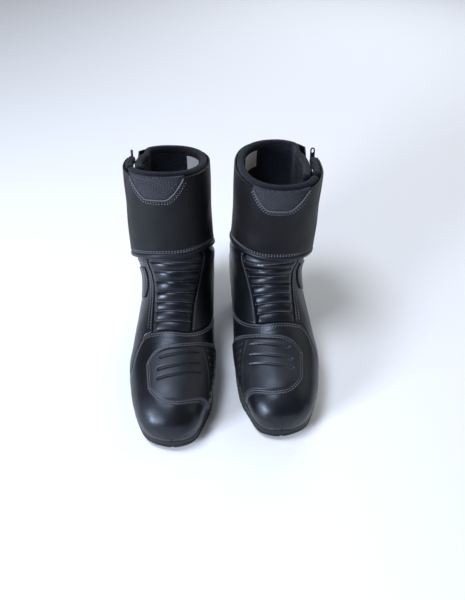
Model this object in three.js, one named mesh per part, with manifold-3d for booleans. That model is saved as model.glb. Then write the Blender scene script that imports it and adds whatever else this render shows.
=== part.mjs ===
// A pair of mid-height touring boots with padded collars, bellows over the instep,
// a slanted side zip under a hook-and-loop flap, and cupped rubber soles.
//
// Millimetres, +Z up, toes toward -Y. Each boot is drawn in its own frame: x runs
// toward the other boot, y runs from toe to heel, z = 0 is the ground. The wearer's
// right boot stands at -X; the left boot is the same design mirrored.
//
// Every upper piece is a patch of one skin. On the skin, u goes round the boot
// (0 front or top, 0.25 inner side, 0.5 back or bottom, 0.75 outer side) and v goes
// along it, from the toe tip (0) over the heel (10) to the top of the shaft (16).
// A depth n is a distance from the skin in mm, positive outward.
import * as THREE from 'three';
import Module from 'manifold-3d';
import { mergeVertices } from 'three/addons/utils/BufferGeometryUtils.js';

const wasm = await Module();
wasm.setup();
const { clamp, lerp, smoothstep, degToRad } = THREE.MathUtils;

// ---- The pair -------------------------------------------------------------------
const MID_FOOT = 150; // distance from the heel to each boot's own origin
const ANKLE = { y: 50, z: 105 }; // the shafts lean about this line
const BOOTS = [
  {
    side: 'right', x: -71, y: -7.8, yaw: degToRad(-1), lean: degToRad(-3.5),
    twist: -0.02, pullTurn: 0, mirrored: false,
  },
  {
    side: 'left', x: 59, y: 9.2, yaw: degToRad(6), lean: degToRad(6.5),
    twist: 0.022, pullTurn: degToRad(90), mirrored: true,
  },
];

// ---- Key sections of the skin, toe tip to collar ---------------------------------
// top and low are [distance from heel, height] of the section's two ends, wide is its
// [inner, outer] half width, belly says how far up the widest place lies, round and
// square are the superellipse powers above and below it, drift moves it inward.
const SECTIONS = [
  { top: [295.5, 32], low: [295.5, 32], wide: [0, 0], belly: 0.4, round: 2.1, square: 3.0, drift: 7 },
  { top: [290, 50], low: [290, 22], wide: [20.5, 20.5], belly: 0.4, round: 2.1, square: 3.0, drift: 6 },
  { top: [277.5, 62], low: [279.5, 21], wide: [33, 33], belly: 0.38, round: 2.1, square: 3.2, drift: 4 },
  { top: [259.5, 71], low: [259.5, 20], wide: [43.5, 43], belly: 0.36, round: 2.1, square: 3.5, drift: 2 },
  { top: [234, 79], low: [234, 18], wide: [51, 51], belly: 0.35, round: 2.2, square: 3.8, drift: 1 },
  { top: [205, 88], low: [200, 18], wide: [53, 56], belly: 0.34, round: 2.1, square: 3.8, drift: 0 },
  { top: [185, 99], low: [165, 20], wide: [53, 55], belly: 0.34, round: 2.0, square: 3.8, drift: 0 },
  { top: [170, 112], low: [130, 24], wide: [51, 53], belly: 0.36, round: 2.0, square: 3.8, drift: 0 },
  { top: [158, 126], low: [87, 28], wide: [49, 50], belly: 0.4, round: 2.0, square: 3.8, drift: 0 },
  { top: [150, 140], low: [38, 30], wide: [48, 48], belly: 0.45, round: 2.0, square: 3.8, drift: 0 },
  { top: [145, 153], low: [9, 45], wide: [49, 48], belly: 0.45, round: 2.0, square: 3.0, drift: -1 },
  { top: [142, 165], low: [6, 75], wide: [51, 50], belly: 0.47, round: 2.1, square: 2.3, drift: -2 },
  { top: [140, 178], low: [13, 108], wide: [53, 53], belly: 0.5, round: 2.1, square: 2.1, drift: -3 },
  { top: [139, 195], low: [16, 145], wide: [53, 54], belly: 0.5, round: 2.2, square: 2.2, drift: -4 },
  { top: [139, 218], low: [11, 184], wide: [52, 54], belly: 0.5, round: 2.2, square: 2.2, drift: -5 },
  { top: [141, 252], low: [6, 222], wide: [53, 53], belly: 0.5, round: 2.2, square: 2.2, drift: -6 },
  { top: [143, 286], low: [3, 258], wide: [53, 51], belly: 0.5, round: 2.2, square: 2.2, drift: -7 },
];

// ---- Layers: [outer, inner] depths ------------------------------------------------
const LEATHER = 2;
const OVERLAY = 1.3; // a piece sewn on top starts this far above the leather
const STIFFENER = [-4.3, -5.6];
const LINING_FOOT = -7;
const LINING_SHAFT = -15.4;
const LINING_RIM = -10.6;
const LINING_THICKNESS = 0.9;
const TUCK = 3.2; // how far the lower panels drop to pass under the shaft panels

// ---- Seams ------------------------------------------------------------------------
const SEAM = 0.002; // half of the gap at an upright seam, in u
const HEEL_SEAM_GAP = 0.004;
const CROSS_SEAM = 0.045; // half of the gap at a seam across the boot, in v
const VAMP_SEAM = 6;
const BELLOWS_INNER = [0.082, 0.142]; // half-u of the bellows at the vamp and at the shaft
const BELLOWS_OUTER = [0.078, 0.098];
const HEEL_SEAM = 0.285;
const HEEL_CAP_LOW = 8.3;
const HEEL_CAP_TOP = 10.9;
const HEEL_ROWS = 6;
const HEEL_GRADING = 1.3; // the heel cap's rows are closer together near the sole
const LOWER_TOP = 12.3;
const OUTER_TOP = 11.92; // the outer quarter ends lower, clear of the zip
const REAR_TOP = 12;
const SHAFT_BOTTOM = 11.8;
const SHAFT_LIFT = 0.7; // the shaft panels end this much higher on the inner side
const SHAFT_TOP = 15.97;
const SHIN_INNER = 0.27;
const FLAP_HINGE = -0.165;
const MARGIN = 3; // the uppers wrap under to this height above the insole line
const HEEL_MARGIN = 2.6;
const HEEL_SEAT = 30;
const TOE_SEAT = 21;

// ---- Shift pad: its edges in v, which run toward the heel on the inner side --------
const PAD = {
  outer: -0.084, inner: 0.268, low: 2.4, lowRise: 0.6, high: 5.15, highRise: 1.05,
  middle: 3.8, endShare: 0.45, thickness: 2.6,
};

// ---- Mesh insert in the front of the shaft -----------------------------------------
const INSERT_HALF = 0.1;
const INSERT_FLAT = 0.3; // share of its half width over which the lower edge is level
const INSERT_DEPTH = 0.82;

// ---- Side zip ---------------------------------------------------------------------
const ZIP_LOW = { u: 0.8, v: 12 };
const ZIP_HIGH = { u: 0.705, v: 15.5 };
const ZIP_GAP = 0.02;
const TAPE = { from: -0.012, width: 0.1, reach: 0.97, layer: [-9.8, -10.6] }; // from and width in u
const CHAIN = { width: 5.6, thickness: 0.9, depth: -7.8, from: 0.05, to: 1.03 };
const SLIDER = { length: 11, width: 9, base: -7.0, top: -4.9 };
const PULL = { length: 23, width: 5.8, thickness: 1.3, depth: -3.5, rise: 6.5 };

// ---- Collar -----------------------------------------------------------------------
const COLLAR = { v: 15.95, across: 4.6, high: 5.4, depth: -7.5, shift: 11, end: 0.87 };

// ---- Soles ------------------------------------------------------------------------
const WELT = 3; // how far the sole stands out beyond the upper
const LIP = 8; // height of the cup's lip above the insole line
const MIDSOLE_TOP = [[-20, 38], [70, 37], [130, 32], [200, 27], [262, 27.5], [320, 31]];
const SOLE_JOINT = [[-20, 20], [88, 20], [100, 18], [140, 12.5], [180, 9], [262, 9], [320, 20]];
const GROUND = [[-20, 3], [8, 0], [84, 0], [90, 11], [140, 6.5], [168, 0], [250, 0], [320, 14]];
const SOLE_GAP = 0.4;
const GROOVES = [24, 38, 52, 66, 182, 196, 210, 224, 238, 252];
const GROOVE = { width: 4, depth: 3 };

// ---- Materials --------------------------------------------------------------------
const finish = (color, roughness, metalness = 0) =>
  new THREE.MeshStandardMaterial({ color, roughness, metalness });
const MATERIALS = {
  leather: finish(0x17181b, 0.38),
  microfibre: finish(0x2a2a2e, 0.7),
  padRubber: finish(0x2c2f38, 0.6),
  rubber: finish(0x111214, 0.75),
  knit: finish(0x15171f, 0.9),
  mesh: finish(0x24252a, 0.85),
  reflective: finish(0x8c8f94, 0.4),
  lining: finish(0x161a2a, 0.95),
  insole: finish(0x8a6f55, 0.9),
  board: finish(0x6b5a48, 0.9),
  plastic: finish(0x1a1b1e, 0.5),
  metal: finish(0x4a4c50, 0.35, 0.9),
};

// ---- The skin ---------------------------------------------------------------------

// A Catmull-Rom value through the key sections, with one value imagined before the
// first section so that the toe closes smoothly.
function between(values, before, v) {
  const last = values.length - 1;
  const i = clamp(Math.floor(v), 0, last - 1);
  const t = v - i;
  const p0 = i > 0 ? values[i - 1] : before;
  const p1 = values[i];
  const p2 = values[i + 1];
  const p3 = i + 2 <= last ? values[i + 2] : 2 * p2 - p1;
  const curve = (2 * p0 - 5 * p1 + 4 * p2 - p3) * t + (3 * p1 - p0 - 3 * p2 + p3) * t * t;
  return 0.5 * (2 * p1 + (p2 - p0) * t + curve * t);
}

function column(read, readBefore = read) {
  const values = SECTIONS.map(read);
  const before = readBefore(SECTIONS[1]);
  return (v) => between(values, before, v);
}

const shape = {
  topAlong: column((s) => s.top[0], (s) => s.low[0]),
  topHeight: column((s) => s.top[1], (s) => s.low[1]),
  lowAlong: column((s) => s.low[0], (s) => s.top[0]),
  lowHeight: column((s) => s.low[1], (s) => s.top[1]),
  inner: column((s) => s.wide[0], (s) => -s.wide[0]),
  outer: column((s) => s.wide[1], (s) => -s.wide[1]),
  belly: column((s) => s.belly),
  round: column((s) => s.round),
  square: column((s) => s.square),
  drift: column((s) => s.drift),
};

const power = (value, exponent) => Math.sign(value) * Math.abs(value) ** exponent;

// How far up its section a place on the skin lies, from 0 (low end) to 1 (top end).
function sectionShare(u, v) {
  const c = Math.cos(2 * Math.PI * u);
  const lobe = power(c, 2 / (c >= 0 ? shape.round(v) : shape.square(v)));
  const belly = shape.belly(v);
  return lobe >= 0 ? belly + (1 - belly) * lobe : belly + belly * lobe;
}

function skinHeight(u, v) {
  return lerp(shape.lowHeight(v), shape.topHeight(v), sectionShare(u, v));
}

function skin(boot, u, v) {
  const c = Math.cos(2 * Math.PI * u);
  const s = Math.sin(2 * Math.PI * u);
  const half = s >= 0 ? shape.inner(v) : shape.outer(v);
  const x = half * power(s, 2 / (c >= 0 ? shape.round(v) : shape.square(v))) + shape.drift(v);
  const share = sectionShare(u, v);
  const y = MID_FOOT - lerp(shape.lowAlong(v), shape.topAlong(v), share);
  const z = skinHeight(u, v);
  const angle = boot.lean * smoothstep(v, 8, 12) * smoothstep(z, 55, ANKLE.z);
  const dy = y - ANKLE.y;
  const dz = z - ANKLE.z;
  return new THREE.Vector3(
    x,
    ANKLE.y + dy * Math.cos(angle) - dz * Math.sin(angle),
    ANKLE.z + dy * Math.sin(angle) + dz * Math.cos(angle),
  );
}

function outward(boot, u, v) {
  const near = Math.max(v, 0.03);
  if (v < 1e-6) return new THREE.Vector3(0, -1, 0);
  const along = skin(boot, u, near + 0.01).sub(skin(boot, u, near - 0.01));
  const round = skin(boot, u + 0.002, near).sub(skin(boot, u - 0.002, near));
  return round.cross(along).normalize();
}

function atDepth(boot, u, v, n) {
  return skin(boot, u, v).addScaledVector(outward(boot, u, v), n);
}

// ---- Solids -----------------------------------------------------------------------

function closedGeometry(triangles) {
  const positions = [];
  let volume = 0;
  for (const [a, b, c] of triangles) {
    if (a.distanceTo(b) < 1e-5 || b.distanceTo(c) < 1e-5 || c.distanceTo(a) < 1e-5) continue;
    volume += a.dot(new THREE.Vector3().crossVectors(b, c));
    positions.push([a, b, c]);
  }
  const ordered = positions.flatMap(([a, b, c]) => (volume > 0 ? [a, b, c] : [a, c, b]));
  const geometry = new THREE.BufferGeometry().setFromPoints(ordered);
  const merged = mergeVertices(geometry, 1e-5);
  merged.computeVertexNormals();
  return merged;
}

const quad = (a, b, c, d) => [[a, b, c], [a, c, d]];

// A closed solid between two grids of points with the same rows and columns. place
// gives the pair of points at (s, t); a ring closes on itself along s.
function shell(columns, rows, place, ring = false) {
  const grid = [];
  for (let j = 0; j <= rows; j++) {
    const row = [];
    for (let i = 0; i <= columns; i++) row.push(place(i / columns, j / rows));
    if (ring) row[columns] = row[0];
    grid.push(row);
  }
  const triangles = [];
  for (let j = 0; j < rows; j++) {
    for (let i = 0; i < columns; i++) {
      const corners = [grid[j][i], grid[j][i + 1], grid[j + 1][i + 1], grid[j + 1][i]];
      const [a, b, c, d] = corners.map((pair) => pair[0]);
      const [e, f, g, h] = corners.map((pair) => pair[1]);
      triangles.push(...quad(a, b, c, d), ...quad(e, h, g, f));
    }
  }
  for (let i = 0; i < columns; i++) {
    const [start, startNext] = [grid[0][i], grid[0][i + 1]];
    const [end, endNext] = [grid[rows][i], grid[rows][i + 1]];
    triangles.push(...quad(start[0], start[1], startNext[1], startNext[0]));
    triangles.push(...quad(end[0], endNext[0], endNext[1], end[1]));
  }
  for (let j = 0; !ring && j < rows; j++) {
    const [left, leftNext] = [grid[j][0], grid[j + 1][0]];
    const [right, rightNext] = [grid[j][columns], grid[j + 1][columns]];
    triangles.push(...quad(left[0], leftNext[0], leftNext[1], left[1]));
    triangles.push(...quad(right[0], right[1], rightNext[1], rightNext[0]));
  }
  return closedGeometry(triangles);
}

// A patch of the skin: where(s, t) gives [u, v], layer(u, v) gives [outer, inner].
function patch(boot, columns, rows, where, layer, ring = false) {
  const place = (s, t) => {
    const [u, v] = where(s, t);
    const [outer, inner] = layer(u, v);
    return [atDepth(boot, u, v, outer), atDepth(boot, u, v, inner)];
  };
  return shell(columns, rows, place, ring);
}

// A round bead along a route: centre(t) gives its middle, frame(t) two directions
// across it with their half sizes, and the ends are rounded off.
function bead(steps, sides, endLength, frame) {
  const rings = [];
  for (let k = 0; k <= steps; k++) {
    const t = k / steps;
    const { centre, across, high } = frame(t);
    const fromEnd = Math.min(t, 1 - t) / endLength;
    const scale = fromEnd >= 1 ? 1 : Math.sqrt(0.3 + 0.7 * (1 - (1 - fromEnd) ** 2));
    const ring = [];
    for (let i = 0; i < sides; i++) {
      const angle = (2 * Math.PI * i) / sides;
      ring.push(centre.clone()
        .addScaledVector(across, scale * Math.cos(angle))
        .addScaledVector(high, scale * Math.sin(angle)));
    }
    rings.push({ centre, ring });
  }
  const triangles = [];
  for (let k = 0; k < steps; k++) {
    for (let i = 0; i < sides; i++) {
      const next = (i + 1) % sides;
      const [near, far] = [rings[k].ring, rings[k + 1].ring];
      triangles.push(...quad(near[i], near[next], far[next], far[i]));
    }
  }
  for (let i = 0; i < sides; i++) {
    const next = (i + 1) % sides;
    const [first, last] = [rings[0], rings[steps]];
    triangles.push([first.centre, first.ring[next], first.ring[i]]);
    triangles.push([last.centre, last.ring[i], last.ring[next]]);
  }
  return closedGeometry(triangles);
}

// ---- Boolean cuts -----------------------------------------------------------------

function toSolid(geometry) {
  const bare = geometry.clone();
  bare.deleteAttribute('normal');
  bare.deleteAttribute('uv');
  const merged = mergeVertices(bare, 1e-4);
  return new wasm.Manifold(new wasm.Mesh({
    numProp: 3,
    vertProperties: new Float32Array(merged.attributes.position.array),
    triVerts: new Uint32Array(merged.index.array),
  }));
}

function toGeometry(solid) {
  const mesh = solid.getMesh();
  const geometry = new THREE.BufferGeometry();
  geometry.setAttribute('position', new THREE.BufferAttribute(mesh.vertProperties, 3));
  geometry.setIndex(new THREE.BufferAttribute(mesh.triVerts, 1));
  geometry.computeVertexNormals();
  return geometry;
}

function box(width, length, height, x, y, z) {
  return toSolid(new THREE.BoxGeometry(width, length, height).translate(x, y, z));
}

// ---- The sole ---------------------------------------------------------------------

const insoleHeight = (v) => (v < 2 ? TOE_SEAT : Math.min(shape.lowHeight(v), HEEL_SEAT));

function bisect(low, high, isAbove) {
  let [a, b] = [low, high];
  for (let i = 0; i < 24; i++) {
    const middle = (a + b) / 2;
    if (isAbove(middle)) b = middle;
    else a = middle;
  }
  return (a + b) / 2;
}

// Half the span in u, either side of the bottom line, that lies lower than a height
// above the insole line.
function bottomHalf(v, height) {
  const level = insoleHeight(v) + height;
  if (shape.lowHeight(v) >= level) return 0;
  return bisect(0, 0.25, (half) => skinHeight(0.5 - half, v) > level);
}

// The places where the bottom line itself reaches that height, at toe and heel.
const bottomToe = (height) => bisect(0, 1.5, (v) => shape.lowHeight(v) < TOE_SEAT + height);
const bottomHeel = (height) => bisect(8, 11, (v) => shape.lowHeight(v) > HEEL_SEAT + height);

// A sheet lying on the bottom of the foot, out to a height up the sides, with its
// rounded ends drawn in from the toe and the heel.
function bottomPatch(boot, columns, rows, height, inset, layer) {
  const toe = bottomToe(height) + inset;
  const heel = bottomHeel(height) - inset / 3;
  const where = (s, t) => {
    const share = 0.5 - 0.5 * Math.cos(Math.PI * t);
    const v = lerp(toe, heel, share);
    const across = 2 * s - 1;
    const half = bottomHalf(v, height) * Math.sqrt(1 - Math.abs(2 * share - 1) ** 8);
    return [0.5 + half * across * Math.abs(across), v];
  };
  return patch(boot, columns, rows, where, () => layer);
}

// The plan outline of the sole: the line at the lip's height, moved out by the welt.
function soleOutline(boot) {
  const stations = 18;
  const toe = bottomToe(LIP);
  const heel = bottomHeel(LIP);
  const line = [];
  for (let k = 0; k < 2 * stations; k++) {
    const angle = (Math.PI * k) / stations;
    const v = lerp(toe, heel, 0.5 - 0.5 * Math.cos(angle));
    const half = k % stations === 0 ? 0 : bottomHalf(v, LIP);
    const p = skin(boot, 0.5 + (k < stations ? -half : half), v);
    line.push(new THREE.Vector2(p.x, p.y));
  }
  return line.map((p, k) => {
    const before = line[(k + line.length - 1) % line.length];
    const after = line[(k + 1) % line.length];
    const along = after.clone().sub(before).normalize();
    return new THREE.Vector2(p.x + along.y * WELT, p.y - along.x * WELT);
  });
}

// A block with the sole's outline, between two side profiles of [from heel, height].
function soleBlock(boot, bottom, top) {
  const plan = new THREE.ExtrudeGeometry(new THREE.Shape(soleOutline(boot)), {
    depth: 60, bevelEnabled: false, steps: 1,
  });
  const profile = [...bottom, ...[...top].reverse()].map(
    ([along, height]) => new THREE.Vector2(MID_FOOT - along, height),
  );
  const side = new THREE.ExtrudeGeometry(new THREE.Shape(profile), {
    depth: 200, bevelEnabled: false, steps: 1,
  });
  side.applyMatrix4(new THREE.Matrix4().makeBasis(
    new THREE.Vector3(0, 1, 0), new THREE.Vector3(0, 0, 1), new THREE.Vector3(1, 0, 0),
  ));
  side.translate(-100, 0, 0);
  return toSolid(plan).intersect(toSolid(side));
}

// The closed body of the foot, a little larger than the upper, that hollows the cup.
function footSolid(boot, depth) {
  const rows = 18;
  const columns = 28;
  const reach = 10.4;
  const rings = [];
  for (let j = 0; j <= rows; j++) {
    const v = reach * (0.5 - 0.5 * Math.cos((Math.PI * j) / rows));
    const ring = [];
    for (let i = 0; i < columns; i++) ring.push(atDepth(boot, j ? i / columns : 0, v, depth));
    rings.push(ring);
  }
  const middle = skin(boot, 0, reach).lerp(skin(boot, 0.5, reach), 0.5);
  const triangles = [];
  for (let i = 0; i < columns; i++) {
    const next = (i + 1) % columns;
    for (let j = 0; j < rows; j++) {
      const [near, far] = [rings[j], rings[j + 1]];
      triangles.push(...quad(near[i], near[next], far[next], far[i]));
    }
    triangles.push([rings[rows][i], rings[rows][next], middle]);
  }
  return toSolid(closedGeometry(triangles));
}

const raised = (profile, by) => profile.map(([along, height]) => [along, height + by]);

function midsole(boot) {
  const block = soleBlock(boot, raised(SOLE_JOINT, SOLE_GAP), MIDSOLE_TOP);
  return toGeometry(block.subtract(footSolid(boot, 1.8)));
}

function outsole(boot) {
  let block = soleBlock(boot, GROUND, SOLE_JOINT);
  for (const along of GROOVES) {
    const cut = box(200, GROOVE.width, 2 * GROOVE.depth, 0, MID_FOOT - along, 0);
    block = block.subtract(cut);
  }
  return toGeometry(block);
}

// ---- Upper, lower half ------------------------------------------------------------

// The seam behind the vamp: level over the instep, back and up on the inner side,
// forward and down on the outer side.
const vampSeam = (u) => (u >= 0
  ? VAMP_SEAM + 1.9 * smoothstep(u, 0.04, 0.3)
  : VAMP_SEAM - 1.5 * smoothstep(-u, 0.08, 0.24));

// How much higher than SHAFT_BOTTOM the shaft panels end.
const shaftLift = (u) => SHAFT_LIFT * smoothstep(u, 0, 0.2) * (1 - smoothstep(u, 0.3, 0.5));

const lowerLayer = (u, v) => {
  const top = -TUCK * smoothstep(v - shaftLift(u), 11.3, 11.7);
  return [top, top - LEATHER];
};

function bellowsHalf(side, v) {
  const [low, high] = side > 0 ? BELLOWS_INNER : BELLOWS_OUTER;
  return lerp(low, high, smoothstep(v, VAMP_SEAM, LOWER_TOP));
}

function vamp(boot) {
  const where = (s, t) => {
    const side = 2 * s - 1;
    let v = VAMP_SEAM * t;
    let u = 0;
    for (let k = 0; k < 4; k++) {
      u = side * Math.min(0.5 - bottomHalf(v, MARGIN), 0.488);
      v = (vampSeam(u) - CROSS_SEAM) * t ** 1.3;
    }
    return [u, v];
  };
  return patch(boot, 16, 7, where, () => [0, -LEATHER]);
}

function toePuff(boot) {
  const where = (s, t) => [lerp(-0.33, 0.33, s), 2.1 * t ** 1.2];
  return patch(boot, 12, 4, where, () => STIFFENER);
}

// The half-u of a quarter's lower and rear edge: the sole line, then the heel seam.
function quarterEdge(v) {
  return lerp(0.5 - bottomHalf(v, MARGIN), HEEL_SEAM, smoothstep(v, HEEL_CAP_LOW, 9.3));
}

// A quarter's rows match the heel cap's rows where the two meet.
function quarter(boot, side, top) {
  const [front, above] = [3, 4];
  const rows = front + HEEL_ROWS + above;
  const rowHeight = (u, row) => {
    if (row <= front) return lerp(vampSeam(u) + CROSS_SEAM, HEEL_CAP_LOW, row / front);
    const rise = (row - front) / HEEL_ROWS;
    if (rise <= 1) return lerp(HEEL_CAP_LOW, HEEL_CAP_TOP, rise ** HEEL_GRADING);
    return lerp(HEEL_CAP_TOP, top + shaftLift(u), (row - front - HEEL_ROWS) / above);
  };
  const where = (s, t) => {
    let u = side * BELLOWS_INNER[0];
    let v = rowHeight(u, rows * t);
    for (let k = 0; k < 8; k++) {
      u = side * lerp(bellowsHalf(side, v) + SEAM, quarterEdge(v) - HEEL_SEAM_GAP, s ** 1.2);
      v = rowHeight(u, rows * t);
    }
    return [u, v];
  };
  return patch(boot, 7, rows, where, lowerLayer);
}

function heelCap(boot) {
  const sole = (u) => bisect(HEEL_CAP_LOW, 9.8, (v) => skinHeight(u, v) > insoleHeight(v) + HEEL_MARGIN);
  const where = (s, t) => {
    const across = 2 * s - 1;
    const rise = t ** HEEL_GRADING;
    const foot = 0.5 + across * (0.5 - quarterEdge(HEEL_CAP_LOW));
    const u = 0.5 + across * (0.5 - quarterEdge(lerp(HEEL_CAP_LOW, HEEL_CAP_TOP, rise)));
    return [u, lerp(sole(foot), HEEL_CAP_TOP, rise)];
  };
  return patch(boot, 12, HEEL_ROWS, where, () => [0, -LEATHER]);
}

function heelCounter(boot) {
  const where = (s, t) => [lerp(0.34, 0.66, s), lerp(10, 10.75, t)];
  return patch(boot, 8, 3, where, () => STIFFENER);
}

function bellows(boot) {
  const ribs = 9;
  const low = VAMP_SEAM + CROSS_SEAM;
  const where = (s, t) => {
    const side = Math.sign(s - 0.5);
    const u = (2 * s - 1) * bellowsHalf(side, lerp(low, LOWER_TOP, t));
    return [u, lerp(low + vampSeam(u) - VAMP_SEAM, LOWER_TOP + shaftLift(u), t)];
  };
  const layer = (u, v) => {
    const [top, bottom] = lowerLayer(u, v);
    const phase = (ribs * (v - low)) / (LOWER_TOP - low);
    const fromEdge = bellowsHalf(Math.sign(u), v) - Math.abs(u);
    const swell = Math.abs(Math.sin(Math.PI * phase)) * smoothstep(fromEdge, 0, 0.03);
    return [top + 1.8 * swell * (1 - smoothstep(v - shaftLift(u), 11.1, 11.4)), bottom];
  };
  return patch(boot, 4, 2 * ribs, where, layer);
}

function rearBellows(boot) {
  const where = (s, t) => {
    const u = lerp(HEEL_SEAM, 1 - HEEL_SEAM, s);
    return [u, lerp(HEEL_CAP_TOP + CROSS_SEAM, REAR_TOP + shaftLift(u), t)];
  };
  return patch(boot, 10, 4, where, lowerLayer);
}

// ---- Pieces sewn on top -----------------------------------------------------------

function shiftPad(boot) {
  const where = (s, t) => {
    const u = lerp(PAD.outer, PAD.inner, s);
    const end = 1 - Math.min(1, 4 * s);
    const share = 1 - (1 - PAD.endShare) * end ** 2.5;
    const low = PAD.low + PAD.lowRise * smoothstep(u, 0.03, 0.2);
    const high = PAD.high + PAD.highRise * smoothstep(u, -0.03, 0.28);
    return [u, lerp(PAD.middle, lerp(low, high, t), share)];
  };
  return patch(boot, 12, 6, where, () => [OVERLAY + PAD.thickness, OVERLAY]);
}

function ankleGuard(boot, centre, width) {
  const where = (s, t) => {
    const a = 2 * s - 1;
    const b = 2 * t - 1;
    const x = a * Math.sqrt(1 - (b * b) / 2);
    const y = b * Math.sqrt(1 - (a * a) / 2);
    return [centre + width * x, 9.75 + 1.05 * y];
  };
  const layer = (u, v) => {
    const r = ((u - centre) / width) ** 2 + ((v - 9.75) / 1.05) ** 2;
    return [OVERLAY + 1 + 3 * Math.max(0, 1 - r), OVERLAY];
  };
  return patch(boot, 6, 6, where, layer);
}

function zipEndTab(boot) {
  const where = (s, t) => {
    const taper = 0.35 + 0.65 * Math.sqrt(Math.min(1, 3 * t));
    return [0.847 + 0.033 * (2 * s - 1) * taper, lerp(8.4, 10.7, t)];
  };
  return patch(boot, 4, 5, where, () => [OVERLAY + 1.8, OVERLAY]);
}

// ---- Shaft ------------------------------------------------------------------------

// The shaft panels stand away from the ankle at their lower outer corner.
function flare(u, v) {
  const round = u < 0 ? u + 1 : u;
  const side = Math.max(0, 1 - ((round - 0.77) / 0.24) ** 2);
  return 4 * side * clamp((14.6 - v) / 2.8, 0, 1.1);
}

const shaftLayer = (u, v) => [flare(u, v), flare(u, v) - LEATHER];

const insertEdge = (boot, u) => {
  const x = Math.min(1, Math.abs(u - boot.twist) / INSERT_HALF);
  const slope = Math.max(0, (x - INSERT_FLAT) / (1 - INSERT_FLAT));
  return SHAFT_TOP - INSERT_DEPTH * (1 - slope ** 1.4);
};

function shinPanel(boot) {
  const where = (s, t) => {
    const u = lerp(FLAP_HINGE + SEAM / 2, SHIN_INNER - SEAM, s);
    return [u, lerp(SHAFT_BOTTOM + shaftLift(u), insertEdge(boot, u), t)];
  };
  return patch(boot, 16, 5, where, shaftLayer);
}

function meshInsert(boot) {
  const where = (s, t) => {
    const u = boot.twist + 0.92 * INSERT_HALF * (2 * s - 1);
    return [u, lerp(insertEdge(boot, u) + 0.045, SHAFT_TOP, t)];
  };
  return patch(boot, 10, 3, where, () => [-0.3, -1.7]);
}

function insertPiping(boot) {
  const frame = (t) => {
    const u = boot.twist + 0.97 * INSERT_HALF * (2 * t - 1);
    const v = insertEdge(boot, u);
    const normal = outward(boot, u, v);
    const ahead = skin(boot, u + 0.002, insertEdge(boot, u + 0.002));
    const behind = skin(boot, u - 0.002, insertEdge(boot, u - 0.002));
    const side = ahead.sub(behind).normalize().cross(normal);
    const centre = atDepth(boot, u, v, 1.2);
    return { centre, across: side.multiplyScalar(0.8), high: normal.multiplyScalar(0.8) };
  };
  return bead(14, 6, 0.02, frame);
}

const zipU = (v) => lerp(ZIP_LOW.u, ZIP_HIGH.u, (v - ZIP_LOW.v) / (ZIP_HIGH.v - ZIP_LOW.v));

function rearPanel(boot) {
  const edge = (v) => zipU(v) - ZIP_GAP;
  const where = (s, t) => {
    const start = SHIN_INNER + SEAM;
    const turn = 0.64;
    const lift = shaftLift(lerp(start, turn, 2 * s)) + 0.32 * smoothstep(s, 0.46, 0.56);
    const v = lerp(SHAFT_BOTTOM + lift, SHAFT_TOP, t);
    const u = s < 0.5 ? lerp(start, turn, 2 * s) : lerp(turn, edge(v), 2 * s - 1);
    return [u, v];
  };
  const layer = (u, v) => {
    const step = 5.3 * smoothstep(u, 0.652, 0.682);
    const drop = 2.9 * smoothstep(u, edge(v) - 0.03, edge(v) - 0.014);
    const top = flare(u, v) - step - drop;
    return [top, top - LEATHER];
  };
  return patch(boot, 16, 5, where, layer);
}

// The flap's free edge: upright, then stepping forward to leave the zip's top open.
const flapEdge = (v) => lerp(0.685, 0.722, smoothstep(v, 14, 15.2));

function closureFlap(boot) {
  const where = (s, t) => {
    const corner = 0.3 * (1 - Math.min(1, 5 * s)) ** 2;
    const v = lerp(SHAFT_BOTTOM + corner, SHAFT_TOP, t);
    return [lerp(flapEdge(v), 1 + FLAP_HINGE - SEAM / 2, s), v];
  };
  return patch(boot, 7, 5, where, shaftLayer);
}

function fasteningStrip(boot, outer, inner) {
  const where = (s, t) => [lerp(0.69, 0.709, s), lerp(12.2, 13.7, t)];
  const layer = (u, v) => [flare(u, v) + outer, flare(u, v) + inner];
  return patch(boot, 2, 4, where, layer);
}

// The tape lies along straight lines between the zip's two ends.
function zipTape(boot) {
  const place = (s, t) => TAPE.layer.map((n) => {
    const from = TAPE.from + TAPE.width * s;
    const low = atDepth(boot, ZIP_LOW.u + from, ZIP_LOW.v, n);
    const high = atDepth(boot, ZIP_HIGH.u + from, ZIP_HIGH.v, n);
    return low.lerp(high, t * TAPE.reach);
  });
  return shell(5, 4, place);
}

// The slider's frame: z up along the chain, y inward, x across; origin at the pivot.
function zipFrame(boot) {
  const low = skin(boot, ZIP_LOW.u, ZIP_LOW.v);
  const high = skin(boot, ZIP_HIGH.u, ZIP_HIGH.v);
  const up = high.clone().sub(low).normalize();
  const normal = outward(boot, ZIP_HIGH.u, ZIP_HIGH.v);
  normal.addScaledVector(up, -normal.dot(up)).normalize();
  const across = new THREE.Vector3().crossVectors(up, normal).normalize();
  const origin = high.clone().addScaledVector(normal, PULL.depth);
  return new THREE.Matrix4().makeBasis(across, normal.clone().negate(), up).setPosition(origin);
}

// The chain is straight and keeps the slider's direction, so that the slider can run.
function zipChain(boot) {
  const length = skin(boot, ZIP_LOW.u, ZIP_LOW.v).distanceTo(skin(boot, ZIP_HIGH.u, ZIP_HIGH.v));
  const total = length * (CHAIN.to - CHAIN.from);
  const middle = length * ((CHAIN.to + CHAIN.from) / 2 - 1);
  const inward = PULL.depth - CHAIN.depth;
  return toGeometry(box(CHAIN.width, CHAIN.thickness, total, 0, inward, middle));
}

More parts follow.
